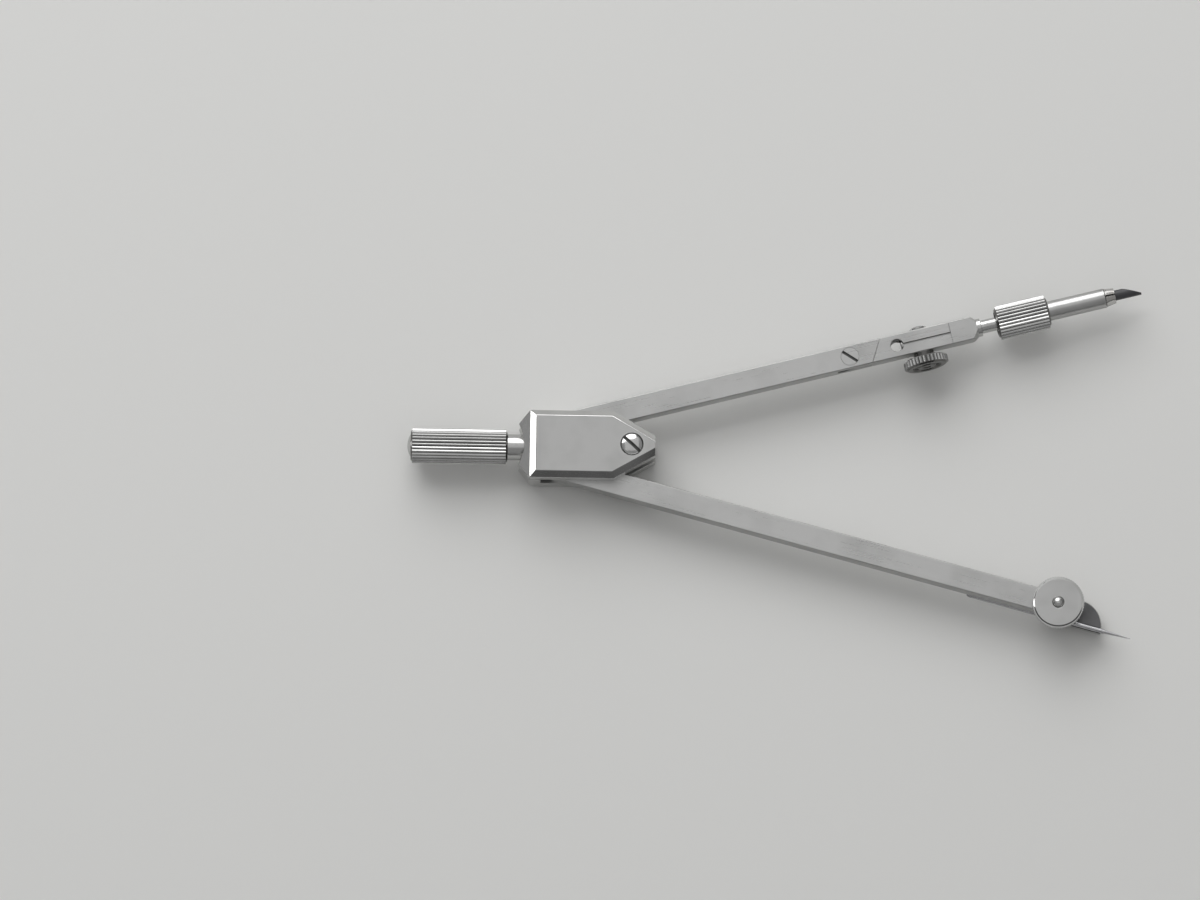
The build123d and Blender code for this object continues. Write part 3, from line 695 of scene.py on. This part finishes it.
def edged(node: str, edge: float, end: Place | None = None) -> Piece:
    """Copy of a flat CAD piece with its sharp edges broken.

    Args:
        node: The piece's name.
        edge: Width of the broken edge.
        end: Where the copy is cut off, square to this place's Z, if it is.

    Returns:
        The copy, which stands where the CAD piece stands.
    """
    piece = bpy.data.objects.new(f"{node}_edged", frame["nodes"][node].data.copy())
    piece.data.name = piece.name
    bpy.context.scene.collection.objects.link(piece)
    select_only(piece)
    bpy.ops.object.mode_set(mode="EDIT")
    bpy.ops.mesh.select_all(action="SELECT")
    bpy.ops.mesh.remove_doubles(threshold=HAIR)
    bpy.ops.mesh.dissolve_limited(angle_limit=math.radians(FLAT))
    if end:
        bpy.ops.mesh.select_all(action="SELECT")
        bpy.ops.mesh.bisect(plane_co=end.origin * MM, plane_no=end.z, use_fill=True, clear_outer=True)
    bpy.ops.object.mode_set(mode="OBJECT")
    limit = {"limit_method": "ANGLE", "angle_limit": math.radians(BROKEN)}
    apply_modifier(piece, "BEVEL", width=edge * MM, segments=1, use_clamp_overlap=False, **limit)
    smooth(piece)
    return piece


def leaning(limit: float) -> Rule:
    """Rule that picks the faces whose normal holds less than this share of Z."""
    return lambda face: abs(face.normal.z) < limit


def dress(piece: Piece, finish: Metal | Graphite, *others: tuple[Metal, Rule]) -> Piece:
    """Gives a piece its finish, and other finishes to the faces that a rule names.

    Args:
        piece: The piece.
        finish: The finish of most faces.
        others: Pairs of a finish and the rule that picks its faces.

    Returns:
        The same piece.
    """
    if "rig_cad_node" not in piece:
        piece.data.materials.clear()
        piece.data.materials.append(None)
    piece.material_slots[0].material = finish.make()
    for other, rule in others:
        piece.data.materials.append(other.make())
        for face in piece.data.polygons:
            if rule(face):
                face.material_index = len(piece.data.materials) - 1
    return piece


def report(piece: Piece, body: str, slot: str, *nodes: str) -> None:
    """Ties a finished piece to its body and the CAD pieces it stands for, and logs it.

    Args:
        piece: The piece.
        body: The CAD body that it moves with.
        slot: The record's material slot; not used.
        nodes: The CAD pieces that it replaces.
    """
    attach(piece, body)
    if nodes:
        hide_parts(*nodes)
    LOG.info("%s rides on %s, %d faces", piece.name, body, len(piece.data.polygons))


# ---- sub-assemblies


@dataclass
class Head:
    """The two cheeks, the yoke between them and the slotted screw that pulls them together."""

    edge: float = 0.09
    bevel_z: float = 0.95  # a face whose normal holds less of Z is a bevel
    screw_x: float = 14.0
    screw_r: float = 2.02
    shank_r: float = 1.2
    foot: float = 1.08
    seat: float = 8.92
    top: float = 10.02
    rise: float = 0.35
    slot_width: float = 0.64
    slot_depth: float = 0.7
    slot_turn: float = -42.0

    def plates(self) -> None:
        """Breaks the cheeks' and the yoke's edges and plates them: satin faces between buffed bevels."""
        bevels = (polished_chrome(HOME), leaning(self.bevel_z))
        for node in ("front_plate", "rear_plate"):
            piece = edged(node, self.edge)
            dress(piece, satin_chrome(HOME), bevels)
            report(piece, "head", "satin_plate", node)
        piece = edged("head_yoke", self.edge)
        dress(piece, polished_chrome(HOME))
        report(piece, "head", "satin_plate", "head_yoke")

    def screw(self) -> None:
        """Turns the domed screw and cuts its driver slot."""
        place = HOME.turned_to(HOME.x, Z, along=self.screw_x)
        crown = self.top + self.rise
        profile = [
            (self.foot, self.shank_r),
            (self.seat, self.shank_r),
            (self.seat, self.screw_r),
            *dome(self.top, self.screw_r, self.rise),
        ]
        screw = Turned("head_screw_turned", place, profile, ease=0.06)
        piece = screw.make()
        screw.slot(piece, self.slot_width, self.slot_depth, crown, self.slot_turn, 5 * self.screw_r)
        # The slot's floor and walls get painted shade.
        shaded_faces = screw.shaded_faces(self.slot_width, self.slot_turn, crown - self.slot_depth, crown)
        dress(screw.lay(piece), turned_chrome(place), (painted_slot_shade(place), shaded_faces))
        report(piece, "head", "bright_plate", "head_screw")

    def hidden(self) -> None:
        """Gives the pins and the spacer inside the head their turned steel."""
        for node in ("pivot_pins", "head_spacer"):
            piece = dress(frame["nodes"][node], turned_steel(HOME))
            LOG.info("%s keeps its shape in %s", node, piece.active_material.name)


@dataclass
class Handle:
    """The turned spindle with its polished neck, and the fluted grip pressed on it."""

    neck_r: float = 2.5
    spigot_r: float = 1.7
    core_r: float = 2.2
    dish_depth: float = 1.656
    spigot: float = 1.2
    neck: float = 2.1
    grip: float = 18.7
    grip_r: float = 3.375
    chamfer: float = 0.3
    rise: float = 0.65
    fit: float = 0.02
    flutes: Flutes = Flutes(count=30, depth=0.22)

    def spindle(self) -> None:
        """Turns the spindle with its domed end."""
        end = self.neck + self.grip
        profile = [
            (-self.dish_depth - self.spigot, self.spigot_r),
            (-self.dish_depth, self.spigot_r),
            (-self.dish_depth, self.neck_r),
            (self.neck, self.neck_r),
            (self.neck, self.core_r),
            *dome(end, self.core_r, self.rise, steps=8),
        ]
        spindle = Turned("handle_spindle_turned", HANDLE, profile, sides=128)
        piece = spindle.lay(spindle.make())
        dress(piece, soft_turned_chrome(HANDLE))
        report(piece, "head", "bright_plate", "handle_spindle")

    def sleeve(self) -> None:
        """Turns the grip and presses its flutes."""
        profile = barrel(self.neck, self.grip, self.grip_r, self.chamfer, self.core_r + self.fit)
        grip = Turned("handle_grip_fluted", HANDLE, profile, tube=True, flutes=self.flutes)
        piece = grip.lay(grip.make())
        dress(piece, fluted_chrome(HANDLE, self.grip_r, self.flutes.depth))
        report(piece, "head", "bright_plate", "handle_grip")


def barrel(start: float, length: float, radius: float, chamfer: float, bore: float) -> list[Point]:
    """Closed profile of a bored barrel with a chamfered core at both ends.

    Args:
        start: Position of its near end along the axis.
        length: Its length.
        radius: Its outer radius.
        chamfer: Size of the end chamfers and of the step above them.
        bore: Radius of its bore.

    Returns:
        Positions and radii, round the outside and back through the bore.
    """
    end = start + length
    core = radius - chamfer
    return [
        (start, core - chamfer),
        (start + chamfer, core),
        (start + chamfer, radius),
        (end - chamfer, radius),
        (end - chamfer, core),
        (end, core - chamfer),
        (end, bore),
        (start, bore),
    ]


@dataclass
class Legs:
    """The two flat legs, toothed inside the head, and the pencil leg's knee screw."""

    edge: float = 0.05
    knee_r: float = 1.72
    shank_r: float = 1.0
    head_t: float = 0.6
    half_t: float = 1.7
    slot_width: float = 0.55
    slot_depth: float = 0.4
    slot_turn: float = -46.0

    def bars(self) -> None:
        """Breaks the legs' edges and draws their faces along their length."""
        for node, place in (("needle_leg", NEEDLE_LEG), ("pencil_leg", PENCIL_LEG)):
            piece = edged(node, self.edge)
            dress(piece, brushed_leg(place))
            report(piece, node, "satin_plate", node)

    def knee_screw(self) -> None:
        """Turns the flush knee screw and cuts its slot."""
        profile = [
            (-self.half_t, self.shank_r),
            (self.half_t - self.head_t, self.shank_r),
            (self.half_t - self.head_t, self.knee_r),
            (self.half_t, self.knee_r),
        ]
        screw = Turned("knee_screw_turned", KNEE, profile, ease=0.01)
        piece = screw.make()
        screw.slot(piece, self.slot_width, self.slot_depth, self.half_t, self.slot_turn, 4 * self.knee_r)
        below_face = self.half_t - 0.1 * NEAR
        # The slot's floor and walls get painted shade.
        shaded_faces = screw.shaded_faces(self.slot_width, self.slot_turn, self.half_t - self.slot_depth, below_face)
        dress(screw.lay(piece), brushed_leg(KNEE), (painted_slot_shade(KNEE), shaded_faces))
        report(piece, "pencil_leg", "satin_plate", "knee_screw")


@dataclass
class NeedleEnd:
    """The stud, the knurled disc on it, and the swivelling holder with its needle."""

    gap: float = 0.03
    stud_r: float = 1.0
    stud_rise: float = 0.5
    stud_head_r: float = 2.3
    stud_head_t: float = 0.8
    stud_slot: float = 0.5
    stud_slot_depth: float = 0.4
    knob_r: float = 5.05
    knob_t: float = 1.8
    knob_seat: float = 1.98
    knob_chamfer: float = 0.25
    knob_sink: float = 0.2
    rim_z: float = 0.9  # a face whose normal holds less of Z is part of a rim
    holder_back: float = -3.705
    holder_edge: float = 0.05
    needle_across: float = -2.05
    needle_height: float = -2.305
    needle_r: float = 0.475
    point_r: float = 0.34
    tip_r: float = 0.05
    tail_r: float = 0.28
    tail: float = 17.6
    shoulder: float = 9.8
    neck: float = 0.8
    cone: float = 4.5
    knob_flutes: Flutes = Flutes(count=60, depth=0.12, shares=(1.0, 0.5, 0.0))

    def stud(self) -> None:
        """Turns the stud with its domed front end and the slotted head behind the holder."""
        back = self.holder_back - self.gap - self.stud_head_t
        face = self.knob_seat + self.knob_t
        profile = [
            (back, self.stud_head_r),
            (back + self.stud_head_t, self.stud_head_r),
            (back + self.stud_head_t, self.stud_r),
            *dome(face, self.stud_r, self.stud_rise),
        ]
        stud = Turned("needle_stud_turned", STUD, profile, ease=0.04)
        piece = stud.make()
        stud.slot(piece, self.stud_slot, self.stud_slot_depth, back, 0.0, 5 * self.stud_head_r)
        dress(stud.lay(piece), turned_chrome(STUD))
        report(piece, "needle_leg", "bright_plate", "needle_stud")

    def knob(self) -> None:
        """Turns the disc nut and presses its fine knurl."""
        bore = self.stud_r + self.gap
        face = self.knob_seat + self.knob_t
        outer = barrel(self.knob_seat, self.knob_t, self.knob_r, self.knob_chamfer, bore)
        profile = [
            *outer[:6],
            (face, self.stud_r + self.knob_sink),
            (face - self.knob_sink + self.gap, bore),
            outer[7],
        ]
        knob = Turned("needle_knob_fluted", STUD, profile, tube=True, ease=0.04, flutes=self.knob_flutes)
        piece = knob.lay(knob.make())
        rim = (polished_chrome(STUD), leaning(self.rim_z))
        dress(piece, satin_chrome(STUD, Marks.ROUND_Z), rim)
        report(piece, "needle_knob", "bright_plate", "needle_knob")

    def washer(self) -> None:
        """Gives the washer under the disc its turned steel."""
        dress(frame["nodes"]["knob_washer"], turned_steel(STUD))
        LOG.info("knob_washer keeps its shape")

    def holder(self) -> None:
        """Breaks the holder's edges and files its faces across; their dark tone is painted shade."""
        piece = edged("needle_holder", self.holder_edge)
        rim = (polished_chrome(STUD), leaning(self.rim_z))
        dress(piece, shaded_filed_steel(STUD), rim)
        report(piece, "needle_holder", "satin_plate", "needle_holder")

    def needle(self) -> None:
        """Turns the needle: a blunt tail, a shoulder, a thin neck and a long point."""
        place = STUD.turned_to(Z, STUD.x, across=self.needle_across, height=self.needle_height)
        neck_end = self.shoulder + self.neck
        profile = [
            (-self.tail, self.tail_r),
            (-self.tail + self.needle_r, self.needle_r),
            (self.shoulder, self.needle_r),
            (self.shoulder, self.point_r),
            (neck_end, self.point_r),
            (neck_end + self.cone, self.tip_r),
        ]
        needle = Turned("needle_turned", place, profile, sides=64, ease=0.03)
        piece = needle.lay(needle.make())
        dress(piece, needle_steel(place))
        report(piece, "needle", "needle_steel", "needle")


@dataclass
class Socket:
    """The split socket beyond the knee, and the screw and thumb wheel that clamp it."""

    edge: float = 0.05
    hole_x: float = 9.35
    hole_r: float = 1.25
    slit_end: float = 19.9
    wall_z: float = 0.6  # a face whose normal holds less of Z is a wall
    clamp_x: float = 14.1
    screw_edge: float = 0.03
    near: float = 2.28
    rim: float = 3.38
    wheel_t: float = 1.85
    wheel_r: float = 4.35
    hub_r: float = 2.0
    chamfer: float = 0.3
    dish_r: float = 2.9
    dish_depth: float = 0.35
    bore: float = 0.74
    flutes: Flutes = Flutes(count=34, depth=0.25)

    @property
    def clamp(self) -> Place:
        """The clamp screw's place, its axis towards the inner edge."""
        return KNEE.turned_to(Z, -KNEE.y, along=self.clamp_x)

    def jaws(self) -> None:
        """Breaks the socket's edges and draws it along its length; its slit and hole walls get painted
        shade.
        """
        piece = edged("pencil_socket", self.edge)
        home = KNEE.matrix.inverted()
        start = self.hole_x - self.hole_r - 2 * NEAR
        wall = leaning(self.wall_z)

        def shaded_faces(face: Face) -> bool:
            """Whether the face is a wall of the slit or of the hole at its end."""
            spot = home @ face.center / MM
            return start < spot.x < self.slit_end and abs(spot.y) < self.hole_r + NEAR and wall(face)

        dress(piece, brushed_leg(KNEE), (painted_slot_shade(KNEE), shaded_faces))
        report(piece, "pencil_socket", "satin_plate", "pencil_socket")

    def screw(self) -> None:
        """Breaks the edges of the low screw head on the outer edge."""
        piece = edged("clamp_screw", self.screw_edge)
        dress(piece, turned_chrome(self.clamp))
        report(piece, "pencil_socket", "bright_plate", "clamp_screw")

    def wheel(self) -> None:
        """Turns the thumb wheel with its hub and dished face, and presses its flutes."""
        far = self.rim + self.wheel_t
        outer = barrel(self.rim, self.wheel_t, self.wheel_r, self.chamfer, self.bore)
        profile = [
            (self.near, self.hub_r),
            (self.rim, self.hub_r),
            *outer[:6],
            (far, self.dish_r),
            (far - self.dish_depth, self.dish_r - self.dish_depth),
            (far - self.dish_depth, self.hub_r),
            (far, self.hub_r - self.dish_depth),
            (far, self.bore),
            (self.near, self.bore),
        ]
        wheel = Turned("clamp_wheel_fluted", self.clamp, profile, tube=True, flutes=self.flutes)
        piece = wheel.lay(wheel.make())
        dress(piece, fluted_chrome(self.clamp, self.wheel_r, self.flutes.depth))
        report(piece, "clamp_wheel", "bright_plate", "clamp_wheel")


@dataclass
class LeadInsert:
    """The lead insert: its body, the fluted clutch nut with its sleeve, the slit collet and the lead."""

    edge: float = 0.04
    overlap: float = 0.02
    block_end: float = 25.3
    collar_root: float = 0.1
    collar_r: float = 1.75
    collar_end: float = 26.1
    shaft_r: float = 1.3
    thread_start: float = 29.4
    thread_r: float = 2.2
    thread_end: float = 35.5
    collet_start: float = 32.5
    lead_bore: float = 1.04
    lead_room: float = 4.5
    slit_width: float = 0.28
    jaw_edge: float = 0.03
    slit_wall: float = 0.97  # the least that a slit wall's normal holds of its cross direction
    nut_start: float = 29.1
    nut_length: float = 10.4
    nut_r: float = 3.3
    chamfer: float = 0.35
    thread_bore: float = 2.24
    sleeve_r: float = 1.9
    sleeve_start: float = 36.5
    sleeve_end: float = 50.7
    sleeve_bore: float = 1.54
    mouth: float = 0.25
    lead_r: float = 1.0
    lead_start: float = 35.0
    lead_end: float = 57.8
    wedge: float = 3.6
    tip: float = 0.25
    flutes: Flutes = Flutes(count=28, depth=0.22)

    @property
    def place(self) -> Place:
        """The insert's axis, from the knee, with its zero angle towards the outer edge."""
        return KNEE.turned_to(KNEE.y, KNEE.x)

    def body(self) -> None:
        """Breaks the edges of the satin block and its shank."""
        end = KNEE.turned_to(KNEE.y, KNEE.x, along=self.block_end - self.overlap)
        piece = edged("insert_body", self.edge, end)
        dress(piece, brushed_leg(KNEE))
        report(piece, "lead_insert", "bright_plate", "insert_body")

    def shaft(self) -> None:
        """Turns the block's collar, the bright shaft and the spigot that the nut runs on."""
        profile = [
            (self.block_end - self.collar_root, self.collar_r),
            (self.collar_end, self.collar_r),
            (self.collar_end, self.shaft_r),
            (self.thread_start, self.shaft_r),
            (self.thread_start, self.thread_r),
            (self.thread_end, self.thread_r),
            (self.thread_end, self.sleeve_bore),
            (self.collet_start, self.sleeve_bore),
            (self.collet_start, self.lead_bore),
            (self.lead_start - self.lead_room, self.lead_bore),
        ]
        shaft = Turned("insert_shaft_turned", self.place, profile)
        piece = shaft.lay(shaft.make())
        dress(piece, soft_turned_chrome(self.place))
        report(piece, "lead_insert", "bright_plate", "insert_body")

    def nut(self) -> None:
        """Turns the clutch nut and presses its flutes."""
        bore = self.sleeve_r - self.overlap
        outer = barrel(self.nut_start, self.nut_length, self.nut_r, self.chamfer, bore)
        profile = [
            *outer[:7],
            (self.sleeve_start, bore),
            (self.sleeve_start, self.thread_bore),
            (self.nut_start, self.thread_bore),
        ]
        nut = Turned("clutch_nut_fluted", self.place, profile, tube=True, flutes=self.flutes)
        piece = nut.lay(nut.make())
        dress(piece, fluted_chrome(self.place, self.nut_r, self.flutes.depth))
        report(piece, "clutch", "bright_plate", "clutch_nut")

    def sleeve(self) -> None:
        """Turns the plain sleeve with its chamfered mouth."""
        profile = [
            (self.sleeve_start, self.sleeve_r),
            (self.sleeve_end, self.sleeve_r),
            (self.sleeve_end, self.sleeve_bore + self.mouth),
            (self.sleeve_end - self.mouth, self.sleeve_bore),
            (self.sleeve_start, self.sleeve_bore),
        ]
        sleeve = Turned("clutch_sleeve_turned", self.place, profile, tube=True, ease=0.04)
        piece = sleeve.lay(sleeve.make())
        dress(piece, satin_chrome(self.place, Marks.ROUND_Z))
        report(piece, "clutch", "bright_plate", "clutch_sleeve")

    def collet(self) -> None:
        """Breaks the edges of the collet's four jaws; the slits' walls are dulled and given painted shade.
        """
        piece = edged("collet", self.jaw_edge)
        home = self.place.matrix.inverted()

        def shaded_faces(face: Face) -> bool:
            """Whether the face is a wall of a slit."""
            spot, way = home @ face.center / MM, home.to_3x3() @ face.normal
            beside = min(abs(spot.x), abs(spot.y)) < self.slit_width / 2 + NEAR
            return beside and max(abs(way.x), abs(way.y)) > self.slit_wall

        dress(piece, spring_bronze(self.place), (painted_slot_shade(self.place), shaded_faces))
        report(piece, "lead_insert", "satin_plate", "collet")

    def lead(self) -> None:
        """Turns the lead and sands its wedge on the outer side."""
        profile = [(self.lead_start, self.lead_r), (self.lead_end, self.lead_r)]
        lead = Turned("lead_sanded", self.place, profile, sides=64)
        piece = lead.make()
        slope = math.atan2(2 * self.lead_r - self.tip, self.wedge)
        select_only(piece)
        bpy.ops.object.mode_set(mode="EDIT")
        bpy.ops.mesh.select_all(action="SELECT")
        corner = (self.lead_r * MM, 0, (self.lead_end - self.wedge) * MM)
        normal = (math.cos(slope), 0, math.sin(slope))
        bpy.ops.mesh.bisect(plane_co=corner, plane_no=normal, use_fill=True, clear_outer=True)
        bpy.ops.object.mode_set(mode="OBJECT")
        lead.lay(piece)
        dress(piece, graphite(self.place))
        report(piece, "lead", "graphite", "lead")


# ---- stage


@dataclass
class Studio:
    """A plain pale floor, soft lamps, and the camera at the photograph's angle."""

    target: tuple[float, float, float] = (7.86, -0.24, 5.01)
    tilt: float = 12.0
    roll: float = 1.0
    width: float = 231.7
    distance: float = 4500.0
    floor_tone: str = "#E6E6E4"
    floor_z: float = -0.3
    floor_r: float = 12.0  # metres
    rim: float = 0.4  # metres
    fade: Span = (0.25, 1.2)  # metres from the middle where the far floor starts and is reached
    sky: Span = (0.08, 0.33)  # strengths near the floor and overhead
    sky_rise: Span = (0.14, 0.45)  # heights between them: 0 is level and 1 straight up

    def floor(self) -> None:
        """Lays the floor: a wide disc of matt card with a low upturned rim."""
        bpy.ops.object.select_all(action="DESELECT")
        middle = (0, 0, self.floor_z * MM)
        bpy.ops.mesh.primitive_circle_add(
            vertices=96, radius=self.floor_r, fill_type="NGON", enter_editmode=True, location=middle
        )
        bpy.ops.mesh.select_all(action="SELECT")
        bpy.ops.mesh.extrude_edges_move(TRANSFORM_OT_translate={"value": (0, 0, self.rim)})
        bpy.ops.object.mode_set(mode="OBJECT")
        floor = bpy.context.object
        floor.name = floor.data.name = "floor"
        material, tree = new_material("Matt_card")
        tone = {"Color": linear(self.floor_tone)}
        near = add_node(tree, "BsdfDiffuse", tone)
        # To eyes and mirrors the far floor shines by itself, so it keeps its tone where no lamp reaches it.
        far = add_node(tree, "Emission", tone)
        at = add_node(tree, "TexCoord").outputs["Object"]
        reach = add_node(tree, "VectorMath", {0: at}, operation="LENGTH")
        away = remap(tree, reach.outputs["Value"], self.fade, curve="SMOOTHSTEP")
        rays = add_node(tree, "LightPath").outputs
        seen = rays["Is Camera Ray"]
        for other in ("Is Glossy Ray", "Is Transmission Ray"):
            seen = add_node(tree, "Math", {0: seen, 1: rays[other]}, operation="MAXIMUM").outputs[0]
        share = add_node(tree, "Math", {0: away, 1: seen}, operation="MULTIPLY")
        mixed = add_node(tree, "MixShader", {0: share.outputs[0], 1: near.outputs[0], 2: far.outputs[0]})
        add_node(tree, "OutputMaterial", {"Surface": mixed.outputs[0]})
        floor.data.materials.append(material)

    def lamp(self, name: str, place: tuple[float, float, float], size: Span, watts: float) -> None:
        """Hangs a soft box that faces the compass.

        Args:
            name: Its name.
            place: Where it hangs, in metres.
            size: Its width and height, in metres.
            watts: Its power.
        """
        light = bpy.data.lights.new(name, "AREA")
        light.shape = "RECTANGLE"
        light.size, light.size_y = size
        light.energy = watts
        lamp = bpy.data.objects.new(name, light)
        bpy.context.scene.collection.objects.link(lamp)
        lamp.location = place
        aim = Vector(self.target) * MM - Vector(place)
        lamp.rotation_euler = aim.to_track_quat("-Z", "Y").to_euler()
        lamp.visible_camera = False

    def lamps(self) -> None:
        """Hangs the lamps: a key at the upper left, a low one at the left, soft ones above and behind."""
        self.lamp("key", (-0.35, 0.9, 0.8), size=(1.3, 1.0), watts=9.0)
        self.lamp("left_low", (-1.1, 0.2, 0.035), size=(0.5, 0.09), watts=0.75)
        self.lamp("top", (0.0, 0.43, 2.0), size=(2.0, 2.0), watts=4.0)
        self.lamp("back", (0.0, 1.6, 0.75), size=(2.0, 1.0), watts=6.0)

    def ceiling(self) -> None:
        """Lights the sky, brighter overhead as a ceiling is, so that polished sides keep dark parts."""
        world = bpy.context.scene.world or bpy.data.worlds.new("studio")
        bpy.context.scene.world = world
        world.use_nodes = True
        tree = world.node_tree
        tree.nodes.clear()
        way = add_node(tree, "TexCoord").outputs["Generated"]
        parts = add_node(tree, "SeparateXYZ", {0: way})
        level = remap(tree, parts.outputs["Z"], self.sky_rise, self.sky, "SMOOTHSTEP")
        light = add_node(tree, "Background", {"Color": (1, 1, 1, 1), "Strength": level})
        add_node(tree, "OutputWorld", {"Surface": light.outputs[0]})

    def camera(self) -> None:
        """Sets the camera, tilted towards the compass from the needle leg's side, with a long lens."""
        data = bpy.data.cameras.new("camera")
        camera = bpy.data.objects.new("camera", data)
        bpy.context.scene.collection.objects.link(camera)
        bpy.context.scene.camera = camera
        tilt, roll = math.radians(self.tilt), math.radians(self.roll)
        back = Vector((0, -math.sin(tilt), math.cos(tilt)))
        across, rise = Vector((1, 0, 0)), Vector((0, math.cos(tilt), math.sin(tilt)))
        right = across * math.cos(roll) + rise * math.sin(roll)
        up = rise * math.cos(roll) - across * math.sin(roll)
        turn = Matrix((right, up, back)).transposed().to_4x4()
        camera.matrix_world = Matrix.Translation((Vector(self.target) + back * self.distance) * MM) @ turn
        data.lens = data.sensor_width * self.distance / self.width
        data.clip_start, data.clip_end = 0.1, 50.0
        bpy.context.scene.view_settings.view_transform = "Standard"


def main() -> None:
    """Builds the compass, sub-assembly by sub-assembly, and sets the studio."""
    logging.basicConfig(level=logging.INFO, format="%(message)s")
    head, handle, legs = Head(), Handle(), Legs()
    needle, socket, insert = NeedleEnd(), Socket(), LeadInsert()
    steps = [head.plates, head.screw, head.hidden, handle.spindle, handle.sleeve, legs.bars, legs.knee_screw]
    steps += [needle.stud, needle.knob, needle.washer, needle.holder, needle.needle]
    steps += [socket.jaws, socket.screw, socket.wheel]
    steps += [insert.body, insert.shaft, insert.nut, insert.sleeve, insert.collet, insert.lead]
    for step in steps:
        step()
    studio = Studio()
    studio.floor()
    studio.lamps()
    studio.ceiling()
    studio.camera()


if __name__ == "__main__":
    main()
